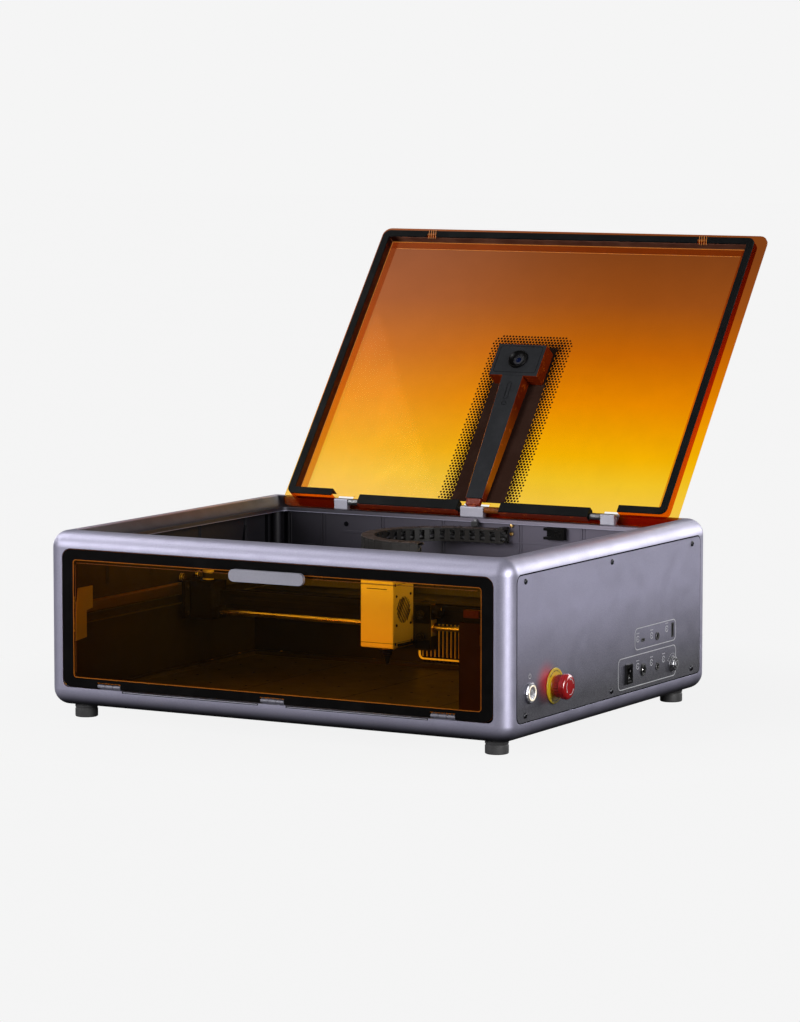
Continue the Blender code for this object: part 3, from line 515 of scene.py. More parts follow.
def wall_amber():
    """The rim's inner wall: almost black red on the left, brown along the front."""
    s = Shader("rim_wall_amber")
    left = s.spread(s.split()[0], 1, 0, -0.238, -0.228)
    dark = s.ramp(lid_reach(s, 0, 0.39), (
        (0, (0.1, 0.012, 0.003)), (0.5, (0.03, 0.002, 0.001)), (1, (0.018, 0.002, 0.001))))
    brown = s.mix(s.drift(40, 0, 1, 0.35), (0.15, 0.05, 0.03), (0.25, 0.1, 0.06))
    return s.solid(s.mix(left, brown, dark), s.drift(90, 0.3, 0.4, 0, 1, 2), 0,
                   Specular_IOR_Level=0.12)


def arm_amber():
    """Deep red cast acrylic of the camera arm's walls, with painted light: orange where light
    reaches the hinge, and painted glints.
    """
    s = Shader("arm_amber")
    glow = s.ramp(lid_reach(s, 0.02, 0.22), (
        (0, (0.2, 0.02, 0.004)), (0.06, (0.66, 0.17, 0.004)), (0.35, (0.42, 0.085, 0.003)),
        (0.6, (0.16, 0.015, 0.002)), (1, (0.26, 0.025, 0.002))))
    # Painted glints: small bright orange spots over the walls' colour.
    painted_glints = s.spread(s.noise(110, 4, 0.7, distortion=0.6), 0, 0.8, 0.58, 0.78)
    return s.solid(s.mix(painted_glints, glow, (0.9, 0.16, 0.01)), s.drift(60, 0.08, 0.2, 0, 1, 2),
                   0, s.bump(s.noise(160, 3), 0.25, 0.0006), Specular_IOR_Level=0.25)


def panel_paint():
    """The case paint with painted shade, darker downward, and a painted red reflection of the
    emergency stop that fades away round it.
    """
    s = Shader("panel_paint")
    away = s.vector_math("DISTANCE", CASE @ Vector((PANEL_FACE, -155, 70)))
    near = s.math("POWER", s.spread(away, 1, 0, 0.002, 0.028, smooth=True), 1.4)
    base = s.mix(s.drift(5, 0, 1), (0.342, 0.325, 0.462), (0.368, 0.35, 0.498))
    base = s.mix(s.spread(s.split()[2], 0.96, 0, 0.045, 0.14), base, (0.012, 0.011, 0.018))
    base = s.mix(s.times(near, 0.8), s.glint(base, 0.2), (0.75, 0.03, 0.05))
    return s.solid(base, s.drift(60, 0.42, 0.5), 0.5, s.peel(), Specular_IOR_Level=0.25)


def board_finish():
    """Green solder mask with traces; the sockets that stand off the board are black."""
    s = Shader("board_finish")
    edge = case_x(268.2)
    socket = s.spread(s.split()[0], 0, 1, edge, edge + 0.0002)
    trace = s.spread(s.cells(160, feature="DISTANCE_TO_EDGE"), 1, 0, 0.03, 0.06)
    green = s.mix(trace, (0.01, 0.085, 0.04), (0.02, 0.17, 0.075))
    return s.solid(s.mix(socket, green, (0.011, 0.011, 0.012)), s.drift(300, 0.36, 0.5, 0, 1),
                   0, s.bump(trace, 0.3, 0.0001))


def belt_finish(axis):
    """Toothed rubber belt: ridges across its run, two millimetres apart."""
    s = Shader(f"belt_{axis}")
    wave = s.math("SINE", s.times(s.split()["xyz".index(axis)], math.tau / (2 * MM)))
    colour = s.mix(s.spread(wave, 0, 1, -0.3, 0.3), (0.012, 0.012, 0.013), (0.03, 0.03, 0.032))
    return s.solid(colour, s.drift(200, 0.55, 0.7, 0, 1, 2), 0, s.bump(wave, 0.5, 0.0003))


def liner_finish():
    """The case colour indoors, in deeper shade to the left and low down."""
    s = Shader("liner_paint")
    x, _, z = s.split()
    shade = s.times(s.spread(x, 0.03, 1, -0.27, 0.16, smooth=True),
                    s.spread(z, 0.3, 1, 0.1, 0.19, smooth=True))
    shade = s.times(shade, s.drift(9, 0.9, 1.08))
    colour = s.mix(shade, (0.008, 0.007, 0.01), (0.155, 0.14, 0.185))
    return s.solid(colour, s.drift(60, 0.52, 0.62), 0.1, s.peel(), Specular_IOR_Level=0.2)


def collar_plastic():
    """Red ribbed collar that turns orange toward the yellow disc."""
    s = Shader("collar_plastic")
    start = case_x(284)
    toward = s.spread(s.split()[0], 0, 1, start, start + 0.006, smooth=True)
    return s.solid(s.mix(toward, (0.95, 0.26, 0.01), (0.42, 0.012, 0.01)),
                   s.drift(300, 0.25, 0.36, 0, 1, 2), 0,
                   s.bump(s.noise(1500), 0.1, 0.0001), Coat_Weight=0.3)


ROUND_BRUSH = (900, 30, 30)
case_paint = paint("case_paint", (0.355, 0.339, 0.47), 0.47, 0.5, dark=0.93, shade=case_shade)
trim_paint = paint("trim_paint", (0.4, 0.39, 0.47), 0.42, 0.5, dark=0.97)
liner_paint = liner_finish()
collar_finish = collar_plastic()
post_brown = plastic("post_brown", (0.02, 0.013, 0.01), 0.8, 900, 0.25, gloss=0.08)
bed_paint = paint("bed_paint", (0.014, 0.0095, 0.0125), 0.42, 0.1, 0.3)
beam_paint = plastic("beam_paint", (0.006, 0.0055, 0.006), 0.8, 900, 0.2, gloss=0.04)
head_paint = paint("head_anodised", (0.86, 0.8, 0.72), 0.36, 0.15, 0.3, 0.97)
black = plastic("black_plastic", (0.01, 0.01, 0.0115), 0.42)
satin_black = plastic("satin_black", (0.0032, 0.0028, 0.0028), 0.36, 1800, 0.1, 0.03, gloss=0.06)
strip_black = plastic("strip_black", (0.006, 0.0065, 0.0068), 0.5, 900, 0.25, gloss=0.035)
arm_black = plastic("arm_black", (0.021, 0.022, 0.025), 0.5, 900, 0.25, gloss=0.04)
rubber = plastic("rubber", (0.045, 0.044, 0.046), 0.68, 700, 0.5, 0.1, sheen=0.1)
chain_plastic = plastic("chain_plastic", (0.015, 0.013, 0.012), 0.45, 1500, 0.2, gloss=0.22)
chain_top = plastic("chain_top", (0.072, 0.05, 0.044), 0.5, 1500, 0.2, gloss=0.18)
dark_print = plastic("dark_print", (0.015, 0.007, 0.005), 0.9, 2200, 0.1, gloss=0)
band_print = plastic("band_print", (0.036, 0.017, 0.012), 0.9, 2200, 0.1, gloss=0)
# Flat black without shine: dark seams and joints, and painted shade in holes, slots, grooves and
# behind openings.
void_black = plastic("void_black", (0.003, 0.003, 0.004), 0.9, 500, 0.2, gloss=0)
yellow = plastic("yellow_plastic", (1, 0.68, 0.012), 0.4, 1500, 0.12)
orange = plastic("orange_plastic", (0.07, 0.02, 0.006), 0.4, 1500, 0.12)
red = plastic("red_plastic", (0.66, 0.012, 0.014), 0.22, 1100, 0.06, 0.05, 0.4)
white_print = plastic("white_print", (0.86, 0.86, 0.9), 0.5, 1700, 0.1)
# The amber acrylic's orange at its edges and on small amber parts, with a painted glow, full and
# faint.
edge_glow = plastic("acrylic_edge", (0.42, 0.115, 0.008), 0.3, 900, 0.15, 0.08, gloss=0.12)
faint_edge = plastic("acrylic_edge_faint", (0.2, 0.055, 0.008), 0.3, 900, 0.15, 0.08, gloss=0.12)
lens_glass = plastic("lens_glass", (0.004, 0.008, 0.035), 0.1, 400, 0, 0.02, gloss=0.02)
steel = metal("ground_steel", (0.72, 0.7, 0.68), 0.22)
turned_steel = metal("turned_steel", (0.56, 0.55, 0.56), 0.26, ROUND_BRUSH)
rail_steel = metal("rail_steel", (0.12, 0.105, 0.1), 0.42)
rod_steel = metal("rod_steel", (0.5, 0.43, 0.37), 0.27)
# The case lilac made darker: painted shade on the door hinge knuckles.
knuckle_shaded_paint = paint("knuckle_shaded_paint", (0.15, 0.145, 0.19), 0.55, 0.3)
bush_steel = metal("bush_steel", (0.2, 0.2, 0.21), 0.42, ROUND_BRUSH)
silver = metal("silver_anodised", (0.6, 0.6, 0.64), 0.34, (500, 500, 60))
brass = metal("brass", (0.78, 0.52, 0.2), 0.28)
black_steel = metal("black_steel", (0.03, 0.03, 0.034), 0.36, (300, 300, 300))
pane_clear = tinted("lid_acrylic", pane_tint, 0.03, 0.02)
rim_clear = tinted("rim_acrylic", rim_tint, 0.05, 0.12)
# A tint laid on the pane beside the rim's wall: a painted reflection of the wall.
rim_reflection_clear = tinted("rim_painted_reflection", (0.9, 0.7, 0.52), 0.05, 0)
door_clear = tinted("door_acrylic", (1, 0.67, 0.11), 0.02, 0.6)
red_amber = arm_amber()
rim_wall_amber = wall_amber()
# Painted glow on the rim's foot line and the latch lines, which are no lamps.
rim_light = glowing("rim_edge_light", (0.95, 0.34, 0.07), 0.3, (0.45, 0.13, 0.01))
lit_ring = glowing("lit_ring", (1, 0.86, 0.6), 0.9, (0.8, 0.75, 0.65))
# Painted glow standing in for the bright highlight on the grille's frame.
grille_painted_glow = glowing("grille_frame_painted_glow", (1, 0.86, 0.66), 0.5, (0.9, 0.86, 0.8))


# ---------------------------------------------------------------- case
def build_case():
    """The rounded case with its lid opening, door opening and side rebate."""
    shell = Piece("case_body", case_paint).box(-CASE_X, FRONT, CASE_LOW, CASE_X, REAR, CASE_TOP)
    bmesh.ops.bevel(shell.bm, geom=list(shell.bm.edges), offset=CASE_ROUND, segments=12,
                    affect="EDGES", profile=0.5)
    inner = (WALL - CASE_X, CASE_X - WALL, FRONT + WALL, REAR - WALL)
    inner_round, cavity, bends = CASE_ROUND - WALL, [], 7
    for step in range(bends + 1):
        turn = math.radians(90 * step / bends)
        inset = inner_round * (1 - math.sin(turn))
        z = CASE_LOW + WALL + inner_round * (1 - math.cos(turn))
        outline = rounded(*grow(inner, -inset), max(inner_round - inset, 1))
        cavity.append([(x, y, z) for x, y in outline])
    cavity.append([(x, y, CEILING) for x, y, _ in cavity[-1]])
    rise, dish, slopes = CASE_TOP + 0.6 - LIP, [], 12
    for i in range(slopes + 1):
        part = i / slopes
        reach = LIP_X + 1.5 + 15 * part
        outline = rounded(-reach, reach, LIP_FRONT - 1.5 - 39 * part, STEP_BACK, 9)
        dish.append([(x, y, LIP + rise * part ** 1.5) for x, y in outline])

    def cutter():
        return Piece("cutter", void_black)

    def door_cutter(top, radius):
        face = (-DOOR_X - 0.8, DOOR_X + 0.8, DOOR_LOW - 1.2, top)
        return cutter().slab(face, radius, "y", FRONT - 6, FRONT + 5, 10)

    shell.done("case", 0.7, sharp=38, slot="case", stands_for=["case_shell"], cuts=[
        cutter().skin(cavity),
        cutter().skin(dish),
        cutter().slab((-LIP_X, LIP_X, LIP_FRONT, LIP_BACK), 8, "z", CEILING - 6, LIP + 2),
        door_cutter(DOOR_HIGH + 0.8, 11),
        door_cutter(DOOR_LOW + 30, 7),
        cutter().slab(grow(PANEL, 0.5), 8, "x", CASE_X - 2.5, CASE_X + 6, 8),
        cutter().slab(grow(PANEL, -7), 6, "x", CASE_X - 9, CASE_X),
        cutter().lathe("y", EXHAUST, [(36.6, REAR - 10), (36.6, REAR + 6)], 48),
        cutter().box(-236, -188, CASE_LOW - 5, 236, 188, CASE_LOW + WALL + 2)])


def build_feet():
    """Turned rubber feet with a waist groove and a sunk screw."""
    top = CASE_LOW - 0.3
    profile = [(0, 2.2), (3.2, 2.2), (3.6, 0.9), (4.4, 0), (11.2, 0), (12, 0.35), (12.4, 1.2),
               (12.4, 8.6), (12.1, 9.2), (11.8, 9.5), (11.8, 10.3), (12.1, 10.6), (12.4, 11.2),
               (12.4, top - 0.6), (12, top), (0, top)]
    for end, y in (("front", -205), ("rear", 205)):
        for side, x in (("left", -253), ("right", 253)):
            foot = Piece(f"rubber_foot_{end}_{side}", rubber).lathe("z", (x, y), profile, 48)
            foot.done("case", slot="rubber", stands_for=[f"foot_{end}_{side}"])
            screw = Piece(f"foot_screw_{end}_{side}", black_steel)
            screw.screws([(x, y, 1.9)], "z", -1, 2.8, 0.6, 0.9).done("case")


def build_liner():
    """Ribs, embossed fields, brackets, screws and trim on the chamber walls."""
    left, rear = LEFT_WALL, REAR_WALL
    rib_top = 186
    ribs = Piece("liner_ribs", liner_paint)
    for offset in (0, 3.4):
        for x in (-244, -199, -120, -40, 60, 140, 215):
            ribs.box(x + offset, rear - 0.9, 101.5, x + offset + 1, rear + 0.5, rib_top)
        for x, last in ((left - 0.5, 139), (RIGHT_WALL - 0.9, 120)):
            for y in (-150, -60, 40, last):
                ribs.box(x, y + offset, 137.5, x + 1.4, y + offset + 1, rib_top)
    ribs.done("case", 0.25, slot="dark_liner")

    fields, bottom = Piece("liner_fields", liner_paint), 103
    for x0, x1, top, slant in ((-238, -206, 150, 0), (-192, -128, 147, 8),
                               (-112, -48, 147, 8), (-30, 52, 147, 8),
                               (70, 134, 147, 8)):
        fields.prism([(x0 + 3, bottom), (x1 - 3, bottom), (x1, bottom + 3), (x1 - slant, top - 3),
                      (x1 - slant - 3, top), (x0 + slant + 3, top), (x0 + slant, top - 3),
                      (x0, bottom + 3)], "y", rear - 2, rear + 0.5)
    fields.box(-170, rear - 0.35, 165, 240, rear + 0.5, 168.2)
    fields.done("case", 0.6, slot="dark_liner")

    column = Piece("liner_corner", liner_paint)
    column.washer("z", (left + 7.5, rear - 7.5), 0, 5.2, 103, 186.2, 28)
    column.done("case", 0.4, slot="dark_liner")

    shade = Piece("liner_shadow_gaps", void_black)
    shade.boxes((left + 13.6, rear - 0.5, 102, left + 17.5, rear + 0.3, 186.4),
                (left - 0.3, rear - 22, 126, left + 0.5, rear - 16, 186.4),
                (left - 0.3, 132, 128, left + 0.7, 136, 176, about((0, 134, 150), -14, "X")))
    hole = [(0, rear - 1), (2.6, rear - 1), (2.9, rear + 0.2), (0, rear + 0.2)]
    shade.lathe("y", (-166, 175.5), hole, 20).done("case", slot="dark_liner")

    trims = Piece("liner_brackets", trim_paint).prism(
        [(-221, 119), (-217, 141), (-189, 141), (-189, 117), (-201, 115), (-201, 86), (-222, 84)],
        "x", -255.9, -254.6)
    trims.box(-262.5, -221, 124, -255, -216, 126).done("case", 0.35, slot="case")

    Piece("front_side_plate", post_brown).boxes(
        (206, -201, 24, 240.6, -199.6, 132), (206, -201, 24, 207.4, -192, 132),
    ).done("case", 0.4, slot="dark_liner")
    Piece("door_magnet", orange).boxes(
        (215, -208, 138.5, 233, -199.6, 146.5), (219, -208.6, 140.5, 229, -207.5, 144.5),
    ).done("case", 0.5)

    wall_screws = [(51.5, rear - 1.4, z) for z in (176, 185.2)]
    bed_screws = [(x, 157.6, 28) for x in (-225, -100, 100, 225)]
    bed_screws += [(-258.4, y, 28) for y in (120, 60)]
    screws = Piece("brass_screws", brass).screws(wall_screws, "y", -1, 2.3, 0.8, 1.2)
    screws.screws(bed_screws, "z", 1, 1.9, 0.6, 0.9).done("case")

    Piece("chain_anchor", chain_plastic).boxes(
        (41, 190.2, 165.8, 47.4, 206, 168.4), (41, 190.2, 181.2, 47.4, 206, 183.8),
        (42, 203.6, 165.8, 47.4, 206, 183.8)).done("case", 0.4)

    clip = Piece("cable_clip", satin_black).box(97, 203.4, 172.4, 121, 206, 186.2)
    clip.prism([(95, 172.6), (121, 172.6), (121, 186), (95, 186), (95, 182.8), (104, 182.8),
                (106.2, 180.4), (106.2, 178.2), (104, 175.8), (95, 175.8)], "y", 198.6, 203.6)
    clip.washer("y", (113, 179.3), 2.6, 3.8, 198, 203, 24).done("case", 0.7)

    Piece("lid_switch", black).boxes(
        (3, 197.6, 182.6, 11, 203.2, 188.4), (4.5, 203, 179, 9.5, 206, 188),
    ).done("case", 0.5)
    tip = [(0, 188.2), (1.9, 188.2), (1.9, 190.2), (1.3, 191), (0, 191.1)]
    Piece("lid_switch_tip", bush_steel).lathe("z", (7, 200.4), tip, 24).done("case")


def build_bed():
    """The work bed's raised edge and hole pattern; the air grille's bars, its frame with a painted
    glow for its highlight, and a black sheet of painted shade behind the bars.
    """
    Piece("bed_edge", liner_paint).boxes(
        (-261.5, 152.5, 27.8, 247, 158.6, 28.6), (-262, -222, 27.8, -255, 152.5, 28.6),
        (241, -222, 27.8, 247.2, 152.5, 28.6)).done("case", 0.3, slot="dark_liner")
    pad, pitch = Piece("bed_seams", void_black), 46
    for x in (-127, 0, 121):
        pad.box(x - 0.35, -218, BED_TOP, x + 0.35, 155, BED_TOP + 0.15)
    for i in range(11):
        for j in range(8):
            hole = (-230 + pitch * i, -200 + pitch * j)
            pad.washer("z", hole, 0, 1.6, BED_TOP, BED_TOP + 0.16, 12)
    pad.done("case")
    border = Piece("grille_frame", grille_painted_glow)
    border.border((-43, 34.5, 32.2, 92.6), 6, 1.8, 4.4, "y", GRILLE_FACE - 2.3, GRILLE_FACE)
    border.done("case", 0.5, slot="steel")
    bars = Piece("grille_bars", head_paint)
    for i in range(14):
        bars.box(-38.5 + 5.2 * i, 158.6, 36, -37.1 + 5.2 * i, GRILLE_FACE, 88)
    for i in range(40):
        bars.box(-43 + 5 * i, 158.9, 91.6, -40.6 + 5 * i, GRILLE_FACE, 96.4)
    bars.done("case", 0.15)
    # A black sheet behind the bars: painted shade in the duct.
    Piece("grille_painted_shade", void_black).box(-46, 166, 24, 40, 167, 97).done("case")


# ---------------------------------------------------------------- front door
def build_door():
    """Glowing edges of the acrylic, the hinge glints, the sill slots and the door's small parts."""
    edge = Piece("window_edge", edge_glow)
    edge.border(grow(WINDOW, -0.3), 3.7, 0.75, 3, "y", FRONT + 0.2, FRONT + 0.45).done("door")
    x0, x1, z0, z1 = WINDOW
    Piece("window_inner_edge", faint_edge).boxes(
        (x0 + 5, FRONT + 0.25, z1 - 4.2, x1 - 5, FRONT + 0.45, z1 - 3.7),
        (x0 + 3.2, FRONT + 0.25, z0 + 6, x0 + 3.6, FRONT + 0.45, z1 - 6)).done("door")
    rim = Piece("door_outer_edge", faint_edge).ring(
        rounded(-DOOR_X - 0.22, DOOR_X + 0.22, DOOR_LOW - 0.1, DOOR_HIGH + 0.22, 10.2, 10),
        rounded(-DOOR_X + 0.1, DOOR_X - 0.1, DOOR_LOW + 0.2, DOOR_HIGH - 0.1, 9.9, 10),
        "y", FRONT + 0.5, FRONT + 4.1)
    notches = [(x - 15.2, FRONT - 1, DOOR_LOW - 3, x + 15.2, FRONT + 5, DOOR_LOW + 4)
               for _, x in DOOR_HINGES]
    rim.done("door", cuts=[Piece("notch", black).box(*notch) for notch in notches])
    glints = Piece("door_hinge_glints", edge_glow)
    for _, x in DOOR_HINGES:
        glints.box(x - 15, FRONT + 0.3, 42.1, x + 15, FRONT + 4, 42.6)
        for i in range(7):
            at = x - 13 + 4.3 * i + random.uniform(-1, 1)
            glints.box(at, FRONT + 0.1, 41.4, at + random.uniform(0.8, 2.4), FRONT + 0.6, 42.4)
    glints.done("door", 0.15)
    sill, bar = Piece("door_sill_slots", void_black), Piece("door_sill_bars", trim_paint)
    for x0, x1 in ((-188, -17), (17, 188)):
        sill.box(x0, FRONT - 0.06, 33.1, x1, FRONT + 0.5, 35.2)
        bar.box(x0 + 1.2, FRONT - 0.12, 33.7, x1 - 1.2, FRONT + 0.5, 34.6)
    sill.done("case")
    bar.done("case", 0.15)
    for side, x in DOOR_HINGES:
        knuckle = Piece(f"door_knuckle_{side}", knuckle_shaded_paint)
        for start, end in ((x - 14.4, x - 5.2), (x - 4.8, x + 4.8), (x + 5.2, x + 14.4)):
            knuckle.lathe("x", (-232.2, 38.5), [(0, start), (1.7, start), (2, start + 0.4),
                                                (2, end - 0.4), (1.7, end), (0, end)], 24)
        knuckle.boxes((x - 14.2, -232.2, 36.7, x + 14.2, -225.2, 38.8),
                      (x - 14.2, -229.2, 29.5, x + 14.2, -225.2, 38.8))
        knuckle.done("case", 0.25, slot="case", stands_for=[f"door_hinge_{side}"])
    pins = Piece("door_post_washers", satin_black)
    for x in (-32, 32):
        pins.washer("y", (x, 171), 3.5, 4.8, FRONT - 0.6, FRONT, 28)
    pins.done("door", 0.15)


# ---------------------------------------------------------------- lid
def build_print():
    """The dark printed band under the camera arm, with halftone dots that shrink away from it."""
    under, half, end, fade, pitch = LID_LOW - 0.02, 34.5, 232, 17.5, 4.1
    dots = Piece("halftone_dots", dark_print, LID)
    band = Piece("halftone_band", band_print, LID)
    band.box(-half, LID_REAR - end, under - 0.12, half, LID_REAR - 17.5, under)
    for row in range(66):
        down = 18 + pitch * 0.87 * row
        for column in range(-14, 15):
            x = pitch * (column + 0.5 * (row % 2))
            beside, beyond = abs(x) - half, down - end
            away = math.hypot(max(beside, 0), max(beyond, 0)) / fade
            if max(beside, beyond) >= 0 and away < 1:
                radius = (1.2 + 0.95 * (1 - away)) * random.uniform(0.95, 1.04)
                dots.prism(circle((x, LID_REAR - down), radius, 10), "z", under - 0.1, under)
    band.done("lid")
    dots.done("lid", weighted=False)


def build_rim():
    """Latches, the rim's inner wall, a painted glowing line at its foot and a painted reflection of
    the wall in the pane.
    """
    latch = Piece("lid_latches", faint_edge, LID)
    lines = Piece("lid_latch_lines", rim_light, LID)
    front = LID_FRONT + 11.2
    for middle in (-179, 179):
        latch.box(middle - 5.8, front - 1.2, 192, middle + 5.8, front + 6.4, 193.2)
        for i in range(4):
            x = middle - 5 + 3 * i
            lean = about((x, front, 0), -14, "Z")
            lines.box(x, front - 1, 191.7, x + 0.5, front + 12, 192, lean)
    latch.done("lid", 0.2)
    lines.done("lid")

    x, front, rear, top = 236.5, LID_FRONT + 19.8, LID_REAR - 17.4, LID_LOW - 0.2
    wall = Piece("lid_rim_wall", rim_wall_amber, LID)
    lines = Piece("lid_rim_lines", rim_light, LID)
    # The pane's darker band beside the wall is a painted reflection of it.
    image = Piece("lid_rim_painted_reflection", rim_reflection_clear, LID)
    wall.box(-x, front - 0.4, top - 10.1, x, front + 0.4, top)
    lines.boxes((-x, front + 0.4, top - 0.3, x, front + 1.1, top),
                (9 - x, front + 10, top - 0.2, x - 9, front + 10.5, top))
    image.box(0.5 - x, front + 0.4, top - 0.05, x - 0.5, front + 10, top + 0.05)
    for side in (-1, 1):
        for piece, reach, width, deep in ((wall, 0.4, 0.8, 10.1), (lines, 1.1, 0.7, 0.3),
                                          (image, 9, 8, 0.05)):
            a, b = sorted((side * (x + 0.4 - reach), side * (x + 0.4 - reach + width)))
            piece.box(a, front + 0.5, top - deep, b, rear, top)
        a, b = sorted((side * 185.4, side * x))
        wall.box(a, rear - 0.4, top - 10.1, b, rear + 0.4, top)
    wall.done("lid", 0.2)
    lines.done("lid")
    image.done("lid")


def build_lid_hinge():
    """Bushings and tubes on the hinge, the end of its bar and the catch lights behind the bars."""
    axis = (LID_AXIS.y, LID_AXIS.z)
    bush = Piece("hinge_bushings", bush_steel, LID)
    profile = ((2.25, 149.4), (3.3, 149.4), (3.6, 149.9), (3.6, 157), (3.2, 157.3), (3.2, 158),
               (3.6, 158.3), (3.6, 163), (3.3, 163.5), (2.25, 163.5))
    for side in (-1, 1):
        bush.lathe("x", axis, [(r, side * along) for r, along in profile], hollow=True)
    bush.done("lid", 0.1)
    tubes = Piece("hinge_tubes", faint_edge, LID).washer("x", axis, 2.25, 3.3, 15.2, 35.6, 24)
    for i in range(4):
        x = 18 + 4.4 * i
        bead = [(3.2, x), (3.7, x + 0.4), (3.7, x + 1.4), (3.2, x + 1.8)]
        tubes.lathe("x", axis, bead, 24, hollow=True)
    tubes.done("lid", 0.1)
    Piece("hinge_bar_end", strip_black, LID).box(
        -36.1, LID_REAR - 14, LID_LOW - 9.5, -18.2, LID_REAR - 0.3, LID_LOW - 0.2).done("lid", 0.5)
    glints = Piece("hinge_glints", red_amber, LID)
    for start, stop in ((-148.6, -18.6), (36.4, 148.6)):
        glints.box(start, LID_REAR - 0.35, LID_LOW - 9.2, stop, LID_REAR - 0.1, LID_LOW - 0.4)
        for x in range(int(start) + 6, int(stop), 12):
            end = x + random.uniform(2, 6)
            glints.box(x, LID_REAR - 0.2, LID_LOW - 7.5, end, LID_REAR + 0.15, LID_LOW - 3.5)
    glints.done("lid", 0.1)


def build_camera():
    """The camera arm with its amber walls and black covers, and the lens in its head."""
    face, neck, end, begin = LID_LOW - 19, LID_REAR - 180, LID_REAR - 223, LID_REAR - 17
    foot, cover_thick = LID_LOW - 0.3, 1.1
    (y0, half0, z0), (y1, half1, z1) = (begin, 10.5, LID_LOW - 10), (neck, 13.5, face)
    walls = Piece("camera_arm_walls", red_amber, LID)
    walls.border((-31.4, 31.4, end - 0.4, neck + 0.4), 1.2, 2.9, 1, "z", face + 0.3, foot, 2)
    corners = ((half0 + 0.45, y0, z0), (half1 + 0.45, y1, z1),
               (half1 - 2.5, y1, z1), (half0 - 2.5, y0, z0))
    for side in (-1, 1):
        walls.skin([[(side * x, y, z + 0.3) for x, y, z in corners],
                    [(side * x, y, foot) for x, y, _ in corners]])
    walls.boxes((-9, LID_REAR - 16.8, LID_LOW - 9, 9, LID_REAR - 9, LID_LOW - 4),
                (-5, LID_REAR - 9.2, LID_LOW - 7.5, 5, LID_REAR - 5.5, LID_LOW - 3.5))
    walls.done("lid", 0.25, slot="amber")

    cutter = Piece("well", black, LID).washer("z", LENS, 0, 11.6, face - 3, face + 3, 40)
    head = Piece("camera_head_cover", arm_black, LID)
    head.slab((-31, 31, end, neck), 1.2, "z", face, face + cover_thick, 3)
    head.done("lid", 0.35, sharp=30, slot="black_plastic", cuts=[cutter])
    lean = Matrix.Translation((0, neck, face)) @ Matrix.Rotation(math.atan2(9, 163), 4, "X")
    outline = ((-half0, y0, z0), (-half1, y1, z1), (half1, y1, z1), (half0, y0, z0))
    cover = Piece("camera_arm_cover", arm_black, LID)
    cover.skin([[(x, y, z + rise) for x, y, z in outline] for rise in (0, cover_thick)])
    slot, dot = Piece("slot", black, LID), Piece("dot", black, LID)
    slot.border((-2.6, 2.6, 9, 32), 2.5, 0.7, 1.85, "z", -3, 0.7, turn=lean)
    dot.washer("z", (0, 37.5), 2.1, 2.9, -3, 0.7, 24, lean)
    cover.done("lid", 0.35, [slot, dot], sharp=30, slot="black_plastic", stands_for=["camera_arm"])

    grooves = Piece("camera_cover_grooves", void_black, LID)
    around = (-27.5, 27.5, LID_REAR - 220.5, LID_REAR - 184)
    grooves.border(around, 3, 0.5, 2.6, "z", face - 0.05, face + 0.3, 6).done("lid")
    floor = Piece("camera_well_floor", void_black, LID)
    floor.washer("z", LENS, 0, 11.4, face + 1.8, face + 2.6).done("lid")
    profile = ((12, -1.4), (11.4, -2.3), (10.6, -2.3), (9.6, -1), (7.6, 0.6), (6, 0.9),
               (6, 1.6), (12, 1.4))
    ring = Piece("camera_lens_ring", satin_black, LID)
    ring.lathe("z", LENS, [(radius, face + rise) for radius, rise in profile], 48, hollow=True)
    ring.done("lid", stands_for=["camera_lens"])
    steps = Piece("camera_lens_steps", black_steel, LID)
    for radius, rise in ((6, 0.9), (5, 1.2), (4.1, 1.4)):
        steps.washer("z", LENS, radius - 0.7, radius, face + rise, face + rise + 0.3, 40)
    steps.done("lid")
    profile = ((0, 0.2), (1.4, 0.3), (2.6, 0.7), (3.5, 1.4), (3.6, 2), (0, 2))
    dome = Piece("camera_lens_glass", lens_glass, LID)
    dome.lathe("z", LENS, [(radius, face + rise) for radius, rise in profile]).done("lid")


# ---------------------------------------------------------------- carrying over the solids
def carry():
    """Give every solid that stays its finish, smooth shading and rounded edges."""
    x_belt, y_belt = belt_finish("x"), belt_finish("y")
    plan = (
        (liner_paint, 0.4, "base_plate chamber_liner"), (bed_paint, 0.4, "work_bed"),
        (liner_paint, 0.3, "exhaust_duct"), (black, 0.6, "exhaust_flange"),
        (black, 0.4, "exhaust_fan_rotor rocker_housing"), (panel_paint(), 0.3, "side_panel"),
        (board_finish(), 0.2, "control_board"), (black, 0.2, "dc_inlet estop_stem"),
        (silver, 0.25, "power_button_bezel"), (satin_black, 0.35, "rocker door_frame"),
        (bush_steel, 0.2, "key_barrel"), (bush_steel, 0.15, "key_rotor"),
        (pane_clear, 0.5, "lid_pane"), (rim_clear, 0.3, "lid_rim"),
        (strip_black, 0.45, "lid_frame"),
        (strip_black, 0.5, "lid_hinge_bar_left lid_hinge_bar_right"), (steel, 0.3, "lid_hinge_pin"),
        (trim_paint, 0.4, "lid_hinge_block_left lid_hinge_block_centre lid_hinge_block_right"),
        (door_clear, 0.3, "door_window"), (trim_paint, 0.9, "door_handle"),
        (rail_steel, 0.4, "y_rail_left y_rail_right"), (y_belt, 0, "y_belt_left y_belt_right"),
        (x_belt, 0, "x_belt"), (black, 0.8, "y_motor"), (beam_paint, 0.8, "x_motor"),
        (steel, 0.15, "y_drive_shaft"), (turned_steel, 0.2, "y_idler_left y_idler_right x_idler"),
        (rod_steel, 0.4, "x_rod"), (head_paint, 0.2, "x_pulley"), (beam_paint, 0.4, "gantry_frame"),
        (black, 0.5, "carriage"), (head_paint, 0.6, "laser_housing"),
        (black, 0.3, "laser_fan_rotor"),
    )
    for finish, edge, nodes in plan:
        for node in nodes.split():
            dress(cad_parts[node], finish, None, edge, 31)


